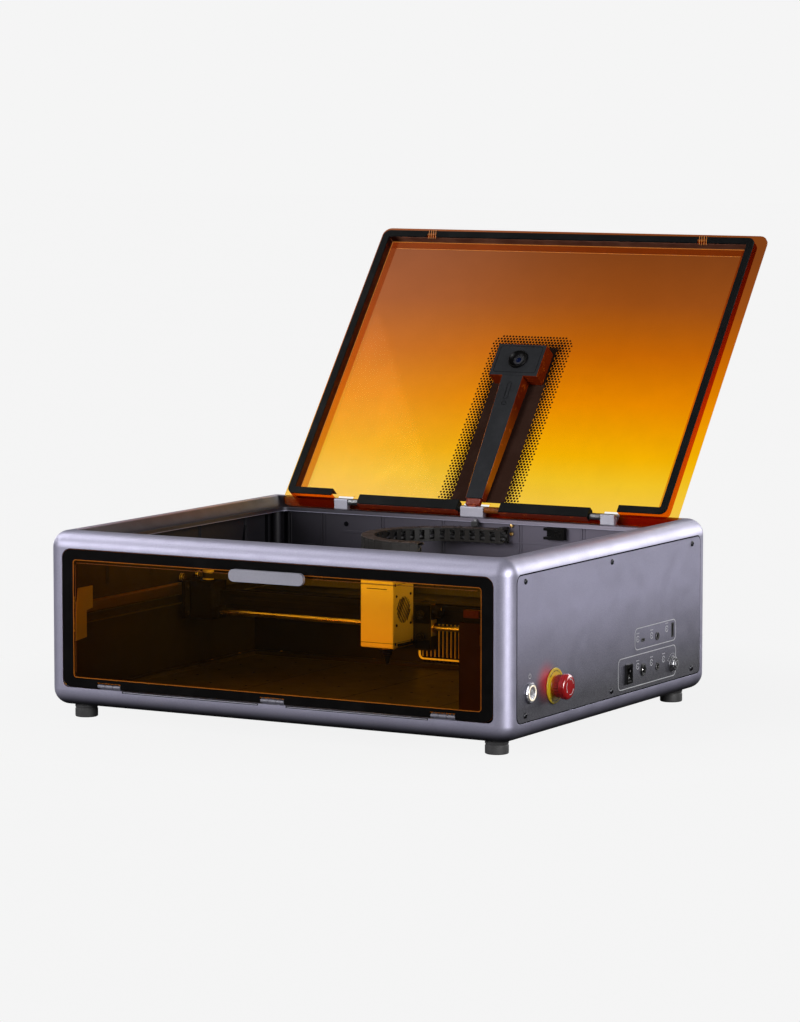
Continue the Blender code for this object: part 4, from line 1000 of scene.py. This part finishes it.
# ---------------------------------------------------------------- machine
def build_chain():
    """The drag chain's links, covers and cables, in a run to the gantry and one to the carriage."""
    centre, radius, half, base, top = Vector((8, 116)), 81, 7.2, 165.7, 182
    bends, split_at, first_solid = 20, 16, 14
    path = [(Vector((48 - 13.33 * i, centre.y + radius)), 180) for i in range(3)]
    for i in range(bends + 1):
        turn = 90 + 180 * i / bends
        path.append((Vector(polar(centre, radius, turn)), turn + 90))
    path += [(Vector((x, centre.y - radius)), 0) for x in (18, 28)]

    def link(piece, cap, i):
        at, past = path[i][0], path[i + 1][0]
        run = past - at
        turn = Matrix.Translation((*((at + past) / 2), 0))
        turn = turn @ Matrix.Rotation(math.atan2(run.y, run.x), 4, "Z")
        long, inset = run.length / 2, 0 if i % 2 else 0.5
        for side in (-1, 1):
            o0, o1 = sorted((side * (half - inset), side * (half - inset - 1.2)))
            reach = long + 0.6 if side == -1 and i >= first_solid else 3.1
            for x0, x1, z0, z1, proud in (
                    (-long - 0.7, long + 0.7, base, base + 2.4, 0),
                    (-long - 0.7, long + 0.7, top - 3.2, top - 0.5, 0),
                    (-reach, reach, base + 2.2, top - 3, 0),
                    (-3.6, -2.2, base - 0.1, base + 3.4, 0.25),
                    (2.2, 3.6, base - 0.1, base + 3.4, 0.25)):
                piece.box(x0, o0 - proud, z0, x1, o1 + proud, z1, turn)
            piece.washer("y", (long - 0.4, top - 2.6), 0, 1.2, o0 - 0.3, o1 + 0.3, 12, turn)
        piece.box(-1.2, 1 - half, base, 1.2, half - 1, base + 1.2, turn)
        cap.box(-long - 0.6, -half, top - 0.8, long + 0.6, half, top - 0.1 - inset, turn)
        cap.box(-2, 1.2 - half, top - 0.4, 2, half - 1.2, top + 0.05, turn)

    for name, cable_name, first, last, one, two, start, end in (
            ("fixed_run", "chain_cables", 0, split_at, "case", "gantry",
             (0, 190, 170), (0, 52, 170)),
            ("moving_run", "chain_cables_moving", split_at, len(path) - 1, "gantry", "carriage",
             (-38, 35, 170), (26, 35, 170))):
        links = Piece(f"chain_links_{name}", chain_plastic)
        tops = Piece(f"chain_tops_{name}", chain_top)
        for i in range(first, last):
            link(links, tops, i)
        cables = Piece(cable_name, rubber)
        for level, offset, thick in ((170.4, 2, 1.6), (174, -2.2, 1.9), (177, 1.2, 1.3)):
            route = [(*polar(at, offset, turn + 90), level) for at, turn in path[first:last + 1]]
            cables.tube(route, thick, 8)
        run = [links.done(None, 0.3), tops.done(None, 0.2), cables.done(None)]
        for obj in run:
            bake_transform(obj)
        if name == "fixed_run":
            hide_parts("drag_chain")


def build_gantry():
    """Screws, slots, motor plates and rail wheels of the gantry."""
    screws = Piece("gantry_screws", black_steel)
    for x, facing in ((-251.2, 1), (236.4, -1)):
        places = [(x, y, z) for y in (-2, 28) for z in (90, 120)]
        screws.screws(places, "x", facing, 2.2, 0.7, 1.1)
    screws.done("gantry")
    Piece("beam_slots", void_black).boxes(
        (-204, 14.92, 99.6, 234, 15.2, 101.4), (-204, 14.92, 110.1, 234, 15.2, 111.9),
        (-204, 21.5, 115.9, 214, 26, 116.08)).done("gantry")
    Piece("beam_scale_strip", satin_black).boxes(
        (-200, 14.6, 104.3, -24, 15.1, 107.6), (66, 14.6, 104.3, 228, 15.1, 107.6),
    ).done("gantry", 0.1)
    motor = Piece("x_motor_details", beam_paint)
    for z0, z1 in ((120.5, 126.2), (83.8, 88)):
        motor.slab((-251.1, -219.1, -0.5, 31.5), 4, "z", z0, z1)
    motor.washer("z", (-235, 15.5), 3.2, 11, 126, 127.2, 36).done("gantry", 0.4)
    tyre = ((1.6, -1.9), (4.2, -1.9), (4.6, -1.2), (4, 0), (4.6, 1.2), (4.2, 1.9), (1.6, 1.9))
    for side, x in (("left", LEFT_WALL + 5.1), ("right", RIGHT_WALL - 5.1)):
        wheels = Piece(f"rail_wheels_{side}", turned_steel)
        for y in (-3, 31):
            profile = [(radius, x + along) for radius, along in tyre]
            wheels.lathe("x", (y, 130.2), profile, 28, hollow=True)
            wheels.washer("x", (y, 130.2), 0, 1.5, x - 2.3, x + 2.3, 16)
        wheels.done("gantry", 0.1)


def build_carriage():
    """Brackets, wheels, bushes, the sensor lead and the focus knob of the carriage."""
    Piece("carriage_details", satin_black).boxes(
        (-20, -2.6, 70, -4, -1.6, 118), (43, -3.4, 98, 61, -1.6, 118), (43, -3.4, 70, 61, -1.6, 80),
        (6, -0.9, 121, 28, 0.1, 160), (41.4, -40, 76, 44, -4, 79)).done("carriage", 0.5)
    wheels = Piece("carriage_wheels", black_steel)
    tyre = [(1.4, -9.4), (4.4, -9.4), (4.8, -8.8), (4.1, -7.2), (4.8, -5.6), (4.4, -5), (1.4, -5)]
    axle = [(0, -10.4), (1.9, -10.4), (2.2, -9.9), (2.2, -1.6), (0, -1.6)]
    for x in (52, -12):
        for z in (108, 84):
            wheels.lathe("y", (x, z), tyre, 32, hollow=True).lathe("y", (x, z), axle, 20)
    wheels.screws([(17, -0.9, z) for z in (126, 140, 154)], "y", -1, 2.2, 0.8, 1.2)
    wheels.done("carriage", 0.1)
    bush = Piece("rod_bushes", brass)
    sleeve = ((3.25, 0), (5.2, 0), (5.6, 0.4), (5.6, 2.1), (5.2, 2.5), (3.25, 2.5))
    for x in (-24.6, 62.05):
        bush.lathe("x", (4, 93), [(radius, x + along) for radius, along in sleeve], hollow=True)
    bush.done("carriage")
    Piece("sensor_lead", rubber).tube(
        [(22, 10, 166), (20, 6, 163), (18, 3.8, 158), (16, 3.8, 146), (14, 1, 139), (13, -6, 138),
         (12, -9, 146)], 1.6, 10).done("carriage")
    block = Piece("focus_indicator", trim_paint).box(62.1, -1.2, 84, 63.2, 9, 102)
    block.screws([(63.2, 4, 87.5)], "x", 1, 1.8, 0.6, 0.9).done("carriage", 0.3)

    centre, start, tooth = (3, 111), 62.3, -0.28
    profile = ((3, 0, 0), (3, 2, 0), (6.2, 2.2, 0), (6.52, 2.9, tooth), (6.52, 8.6, tooth),
               (6, 9.6, 0), (5, 10, 0))
    rings = knurled(centre, [(r, start + along, deep) for r, along, deep in profile], 48, 1)
    knob = Piece("focus_knob_knurled", satin_black)
    knob.skin([[(start, *centre)]] + rings + [[(start + 9.7, *centre)]])
    knob.done("focus_knob", 0.12, stands_for=["focus_knob"])
    mark = Piece("focus_knob_mark", white_print)
    mark.box(72, 2.6, 112.6, 72.34, 3.4, 116).done("focus_knob")


def build_laser_head():
    """The nozzle, fan vent, seams, screws and top fittings of the laser head."""
    nozzle = Piece("laser_nozzle_turned", black_steel)
    nozzle.lathe("z", NOZZLE, [
        (1, 54.4), (1.7, 54.4), (2, 54.9), (3.6, 61.4), (4.2, 63.4), (4.8, 63.9), (5.6, 64.2),
        (5.6, 66.9), (5.2, 67.3), (5.2, 68.4), (7, 68.8), (7.4, 69.4), (7.4, 73.7), (2.6, 73.7),
        (2.6, 66), (1.2, 60)], 48, hollow=True)
    nozzle.done("laser_head", 0.12, stands_for=["laser_nozzle"])
    shroud = Piece("nozzle_shroud", brass)
    profile = [(7.6, 70.6), (9.6, 70.6), (10.4, 71.4), (10.4, 73.9), (7.6, 73.9)]
    shroud.lathe("z", NOZZLE, profile, 40, hollow=True).done("laser_head", 0.15)
    vent = Piece("vent_slots", void_black)
    middle, reach, pitch, lean = (-25, 115), 14.5, 3.2, 32
    for i in range(-4, 5):
        at = polar(middle, pitch * i, -lean)
        half = math.sqrt(reach ** 2 - (pitch * i) ** 2)
        ends = polar(at, -half, 90 - lean), polar(at, half, 90 - lean)
        vent.prism(bar(*ends, 1.7), "x", HEAD_SIDE - 0.2, HEAD_SIDE + 0.08)
    vent.done("laser_head")
    seams = Piece("head_seams", void_black)
    for z in (79.6, 143.2):
        seams.box(-0.06, HEAD_FRONT - 0.06, z, HEAD_SIDE + 0.06, -5, z + 0.5)
    seams.box(8, HEAD_FRONT - 0.08, 138.5, 33, HEAD_FRONT + 0.1, 139.3).done("laser_head")
    corners = [(HEAD_SIDE - 0.1, y, z) for y in (-43.5, -8) for z in (79, 143.5)]
    corners += [(HEAD_SIDE - 0.1, y, z) for y in (-40.5, -9.5) for z in (99, 131)]
    Piece("head_screws", black_steel).screws(corners, "x", 1, 1.7, 0.7, 0.9).done("laser_head")
    Piece("head_connector", black).boxes(
        (8, -20, 148.2, 18, -8, 153.5), (9.2, -18.6, 153.3, 16.8, -9.4, 156.5),
        (24, -38, 148.2, 34, -30, 150.4)).done("laser_head", 0.5)
    plate = Piece("head_top_plate", silver)
    plate.slab((3, 38, -45, -22.5), 2, "z", HEAD_TOP, HEAD_TOP + 0.8).done("laser_head", 0.25)


# ---------------------------------------------------------------- control panel
def build_panel():
    """Screws, seams and printing of the side panel."""
    face, proud = PANEL_FACE, PANEL_FACE + 0.06
    corners = [(face, y, z) for y in (-201, -4.5, 192) for z in (40.7, 179.3)]
    Piece("panel_screws", black_steel).screws(corners, "x", 1, 3.1, 0.9, 1.3).done("case")
    y0, y1, z0, z1 = PANEL
    gap = Piece("panel_gap", void_black)
    gap.border(grow(PANEL, 0.5), 8, 0.5, 7.5, "x", 281.4, 282.2)
    gap.ring(rounded(y0 - 0.35, y1 + 0.35, z0 - 1, z1 + 0.95, 8, 8),
             rounded(y0 + 0.05, y1 - 0.05, z0 + 0.45, z1 - 0.45, 7.6, 8),
             "x", face - 0.2, face + 0.09)
    gap.done("case")
    prints = Piece("panel_print", white_print)

    def dash(start, end, width=0.7):
        prints.prism(bar(start, end, width), "x", face - 0.1, proud)

    def arc(centre, radius, start, stop, pieces, share=1, width=0.7):
        step = (stop - start) / pieces
        for i in range(pieces):
            turns = (start + step * i, start + step * (i + share))
            dash(*(polar(centre, radius, turn) for turn in turns), width)

    line = 0.95
    for field in ((51, 152.2, 77, 101), (11.3, 152.5, 38, 72.5)):
        prints.border(field, 6.5, line, 6.5 - line, "x", face - 0.1, proud)
    for y, z in ((58.5, 90.5), (92, 90.5), (92, 61), (129.5, 93.5), (58.5, 61), (122, 61)):
        arc((y, z - 1.5), 3.3, 20, 340, 8, width=0.85)
        dash((y - 1.3, z - 1.5), (y + 1.3, z - 1.5))
        for i in range(3):
            dash((y - 3.2 + 2.4 * i, z + 4.6), (y - 1.6 + 2.4 * i, z + 4.6), 1.1)
    arc(KEY, 11.5, 25, 155, 9, 0.55)
    dash((132, 57), (134.6, 55.2))
    y = POWER_BUTTON[0]
    arc((y, 80.5), 2.6, 125, 415, 9)
    dash((y, 80.8), (y, 84))
    prints.done("case")


def build_buttons():
    """The lit power button and the emergency stop."""
    marks = Piece("rocker_marks", white_print, ROCKER)
    marks.prism([(33.8, 57.2), (34.4, 57.2), (34.4, 60.4), (33.8, 60.4)], "x", 285.6, 286.45)
    marks.washer("x", (34.1, 49.8), 1.25, 1.7, 285.6, 286.45, 20).done("rocker")
    glow = Piece("power_button_glow", lit_ring)
    glow.washer("x", POWER_BUTTON, 6.9, 8.2, 286.8, 287.25, 56).done("power_button")
    cap = Piece("power_button_dish", silver)
    cap.lathe("x", POWER_BUTTON, [(0, 276), (8.5, 276), (8.5, 286.5), (8.3, 286.9), (6.9, 287),
                                  (6.7, 286.6), (4, 286.2), (0, 286.1)], 56)
    cap.done("power_button", 0.12, slot="silver", stands_for=["power_button_cap"])
    symbol = Piece("power_button_mark", white_print)
    symbol.washer("x", POWER_BUTTON, 2.6, 3, 286, 286.26)
    symbol.box(286, -191.2, 64.6, 286.28, -190.8, 67.6).done("power_button")

    disc = Piece("estop_yellow_ring", yellow)
    disc.lathe("x", ESTOP, [(10.9, 284.1), (18.3, 284.1), (18.75, 284.4), (18.75, 285.2),
                            (18.3, 285.6), (11.2, 285.6), (10.9, 285.2)], 72, hollow=True)
    disc.done("case", 0.12, slot="yellow", stands_for=["estop_base"])
    ticks = Piece("estop_ring_ticks", black)
    for middle in (90, 270):
        for i in range(-7, 8):
            start = middle + 6.5 * i
            outline = sector(ESTOP, 15.1, 16.4, start, start + random.choice((2, 3.2, 4.4)))
            ticks.prism(outline, "x", 285.4, 285.66)
    ticks.done("case")
    collar, tooth = Piece("estop_collar", collar_finish), 0.45
    collar.skin(knurled(ESTOP, (
        (4.6, 258, 0), (10.8, 258, 0), (10.8, 285.6, 0), (10.9, 286, 0), (10.5, 286.6, 0),
        (10.9, 287.2, 0), (11.2, 288, tooth), (12.1, 288.5, tooth), (12.1, 294.2, tooth),
        (11.7, 294.6, tooth), (4.6, 294.6, 0)), 96, 2), closed=True)
    collar.done("case", 0.1)
    cap = Piece("estop_button", red)
    cap.lathe("x", ESTOP, [
        (0, 299), (12.5, 299), (12.5, 294.9), (12.7, 294.8), (13.1, 295), (13.5, 295.8),
        (13.5, 298.9), (13.2, 300.2), (12.3, 301.5), (10.9, 302.2), (8.4, 302.55), (4.5, 302.7),
        (0, 302.75)], 72)
    cap.done("estop_cap", 0.1, slot="red", stands_for=["estop_cap"])
    arrows, depth = Piece("estop_arrows", white_print), (302.3, 302.78)
    for start in (20, 140, 260):
        for i in range(8):
            arrows.prism(sector(ESTOP, 7.7, 8.4, start + 9 * i, start + 9 * (i + 1)), "x", *depth)
        tip = ((8.05, 82), (9.1, 70), (7, 70))
        arrows.prism([polar(ESTOP, radius, start + turn) for radius, turn in tip], "x", *depth)
    arrows.done("estop_cap")


def build_sockets():
    """The metal and nuts of the sockets and the key switch, and the rocker's bezel."""
    metalwork = Piece("socket_metal", steel)
    for at in ((105.6, 86.8), (106.2, 53.5)):
        metalwork.washer("x", at, 3, 4.15, 283.9, 284.6)
        metalwork.lathe("x", at, [(0, 276), (0.7, 276), (0.7, 283.2), (0.4, 283.8), (0, 283.9)], 16)
    metalwork.border((66.5, 75.1, 85.2, 88.2), 1.3, 0.6, 0.85, "x", 283, 284.1, 6)
    metalwork.box(279, 68, 86.5, 283.3, 73.6, 86.9)
    pin = [(0, 276), (1, 276), (1, 283.6), (0.6, 284.1), (0, 284.2)]
    metalwork.lathe("x", DC_INLET, pin, 18).done("case")
    nut = Piece("dc_inlet_nut", black).washer("x", DC_INLET, 5.15, 6.6, 283.6, 285, 6)
    nut.washer("x", DC_INLET, 5.3, 7.2, 283.5, 284, 48).done("case", 0.25)
    nut = Piece("key_switch_nut", bush_steel).washer("x", KEY, 7.2, 8.9, 283.6, 284.5, 48)
    nut.washer("x", KEY, 7.2, 8.2, 284.3, 286.2, 6).done("case", 0.2)
    Piece("key_slot_plate", black_steel).box(284.5, 143.5, 48.6, 288.9, 145.1, 54.8).done("key")
    bezel = Piece("rocker_bezel", satin_black)
    bezel.border((26.9, 41.3, 43.8, 64.8), 1.6, 2.4, 0.9, "x", 284.2, 286.8, 6).done("case", 0.35)


# ---------------------------------------------------------------- back and underside
def build_back():
    """The exhaust guard, and the seam, vents and screws of the rear wall."""
    x, z = EXHAUST
    guard = Piece("exhaust_guard", black_steel)
    for radius in (6.5, 12, 17.5, 23, 28.5):
        guard.washer("y", EXHAUST, radius - 1.2, radius, REAR - 3.4, REAR - 2.2, 56)
    for turn in (45, 135, 225, 315):
        spoke = bar(polar(EXHAUST, 4.5, turn), polar(EXHAUST, 34.6, turn), 1.6)
        guard.prism(spoke, "y", REAR - 3.3, REAR - 2.3)
    hub = ((0, 3.6), (5, 3.6), (5.2, 2.6), (4.4, 2), (0, 2))
    guard.lathe("y", EXHAUST, [(radius, REAR - deep) for radius, deep in hub]).done("case", 0.2)
    plate = Piece("exhaust_plate", case_paint)
    outer = rounded(x - 48, x + 48, z - 40, z + 48, 9, 9)
    inner = [polar(EXHAUST, 37.2, math.degrees(math.atan2(v - z, u - x))) for u, v in outer]
    plate.ring(outer, inner, "y", REAR - 0.2, REAR + 1.2).done("case", 0.35, slot="case")
    places = [(x + dx, REAR + 1.2, z + dz) for dx in (-41, 41) for dz in (-33.5, 41.5)]
    places += [(sx, REAR, 178) for sx in (-245, -80, 80, 245)]
    places += [(sx, REAR, 34) for sx in (-245, -80, 250)]
    Piece("back_screws", black_steel).screws(places, "y", 1, 2.8, 0.8, 1.1).done("case")
    vents = Piece("back_vents", void_black)
    for row in range(5):
        for column in range(12):
            cx, cz = -190 + 12.5 * column, 62 + 8.5 * row
            slot = (cx - 4.6, cx + 4.6, cz - 1.5, cz + 1.5)
            vents.slab(slot, 1.45, "y", REAR - 0.4, REAR + 0.08, 5)
    vents.done("case")
    seam = Piece("back_seam", void_black)
    seam.border((-262, 262, 26.5, 190), 9, 0.8, 8.3, "y", REAR - 0.5, REAR + 0.05).done("case")


def build_underside():
    """Screws, vents and ribs of the base plate."""
    places = [(x, y, CASE_LOW + 4.4) for x in (-228, 0, 228) for y in (-180, 180)]
    Piece("underside_screws", black_steel).screws(places, "z", -1, 2.8, 0.8, 1.2).done("case")
    slots = Piece("underside_vents", void_black)
    for column in range(14):
        for y in (-60, 60):
            x = -130 + 20 * column
            slots.slab((x - 3, x + 3, y - 22, y + 22), 2.9, "z", CASE_LOW + 4.2, CASE_LOW + 4.6)
    slots.done("case")
    ribs = Piece("underside_ribs", liner_paint)
    for y in (-120, 0, 120):
        ribs.slab((-220, 220, y - 4, y + 4), 3.8, "z", CASE_LOW + 2.6, CASE_LOW + 4.5)
    ribs.done("case", 0.5, slot="dark_liner")


# ---------------------------------------------------------------- studio
def floor_finish():
    """Seamless pale sweep: it glows like the backdrop, with a faint shadow close to the case."""
    s = Shader("floor_sweep")
    near = s.spread(s.vector_math("LENGTH", (0, 0, 0)), 0.04, 0, 0.25, 0.6, smooth=True)
    speck = s.spread(s.noise(3), 0.995, 1)
    glow = s.make("ShaderNodeEmission", {"Color": (BACKDROP,) * 3, "Strength": speck})
    matt, dim = (s.make("ShaderNodeBsdfDiffuse", {"Color": colour})
                 for colour in ((0.8, 0.8, 0.8), (0.1, 0.1, 0.105)))
    seen = s.make("ShaderNodeLightPath", {}, "Is Camera Ray")
    return s.finish(s.blend(seen, dim, s.blend(near, glow, matt)))


def linked(name, data):
    """A new object in the scene."""
    obj = bpy.data.objects.new(name, data)
    bpy.context.scene.collection.objects.link(obj)
    return obj


def softbox(name, at, target, size, power, shows="both"):
    """An area light aimed at a point, in metres, that shows in shade, in highlights or in both."""
    data = bpy.data.lights.new(name, "AREA")
    data.shape = "RECTANGLE"
    data.size, data.size_y = size
    data.energy = power
    light = linked(name, data)
    light.location = at
    light.visible_camera = False
    light.visible_diffuse = shows != "highlights"
    light.visible_glossy = shows != "shade"
    light.rotation_euler = (Vector(target) - Vector(at)).to_track_quat("-Z", "Y").to_euler()


def build_studio():
    """Camera, backdrop, lights and floor."""
    scene = bpy.context.scene
    scene.view_settings.view_transform = "Standard"
    data = bpy.data.cameras.new("camera")
    data.lens, data.sensor_width, data.clip_end = CAMERA_LENS, SENSOR, 60
    scene.camera = linked("camera", data)
    scene.camera.location = CAMERA_AT
    scene.camera.rotation_euler = (math.radians(90 - CAMERA_DOWN), 0, math.radians(CAMERA_TURN))

    world = bpy.data.worlds.new("studio")
    world.use_nodes = True
    scene.world = world
    nodes, links = world.node_tree.nodes, world.node_tree.links
    nodes.clear()
    kinds = ("ShaderNodeOutputWorld", "ShaderNodeMixShader", "ShaderNodeLightPath")
    out, mix, rays = (nodes.new(kind) for kind in kinds)
    links.new(rays.outputs["Is Camera Ray"], mix.inputs[0])
    for i, level in ((1, SKY), (2, BACKDROP)):
        sky = nodes.new("ShaderNodeBackground")
        sky.inputs["Color"].default_value = (level, level, level, 1)
        links.new(sky.outputs[0], mix.inputs[i])
    links.new(mix.outputs[0], out.inputs["Surface"])

    for light in (
            ("overhead", (-1.9, -0.5, 1.9), (-0.1, -0.1, 0.15), (1.3, 1.4), 34, "highlights"),
            ("front_left", (-1.35, -3.3, 1.15), (0, -0.1, 0.12), (1.2, 1.3), 80, "shade"),
            ("front_sheen", (-2.5, -2.9, 1.3), (-0.2, -0.1, 0.12), (0.8, 1.3), 52, "highlights"),
            ("behind_right", (2.2, 3.7, 1.25), (0.28, 0, 0.12), (2.6, 1.9), 120, "highlights"),
            ("behind", (0.2, 3.8, 2.1), (0, 0, 0.2), (1.6, 0.8), 20, "highlights"),
            ("right_corner", (3, -2.1, 0.9), (0.28, -0.1, 0.1), (1.4, 1.7), 160, "highlights"),
            ("right_fill", (3.1, -0.7, 1.5), (0.28, 0, 0.1), (1, 1), 38),
            ("left_rim", (-3, 1.3, 0.8), (-0.28, 0, 0.1), (0.9, 1.2), 16, "highlights"),
            ("chamber", CASE @ Vector((0, -214, 178)), CASE @ Vector((0, -20, 100)),
             (0.3, 0.02), 0.25)):
        softbox(*light)

    mesh, half = bpy.data.meshes.new("floor"), 16
    mesh.from_pydata([(-half, -half, 0), (half, -half, 0), (half, half, 0), (-half, half, 0)], [],
                     [(0, 1, 2, 3)])
    mesh.materials.append(floor_finish())
    linked("floor", mesh)


for build in (build_case, build_feet, build_liner, build_bed, build_door, build_print, build_rim,
              build_lid_hinge, build_camera, build_chain, build_gantry, build_carriage,
              build_laser_head, build_panel, build_buttons, build_sockets, build_back,
              build_underside, carry, build_studio):
    build()
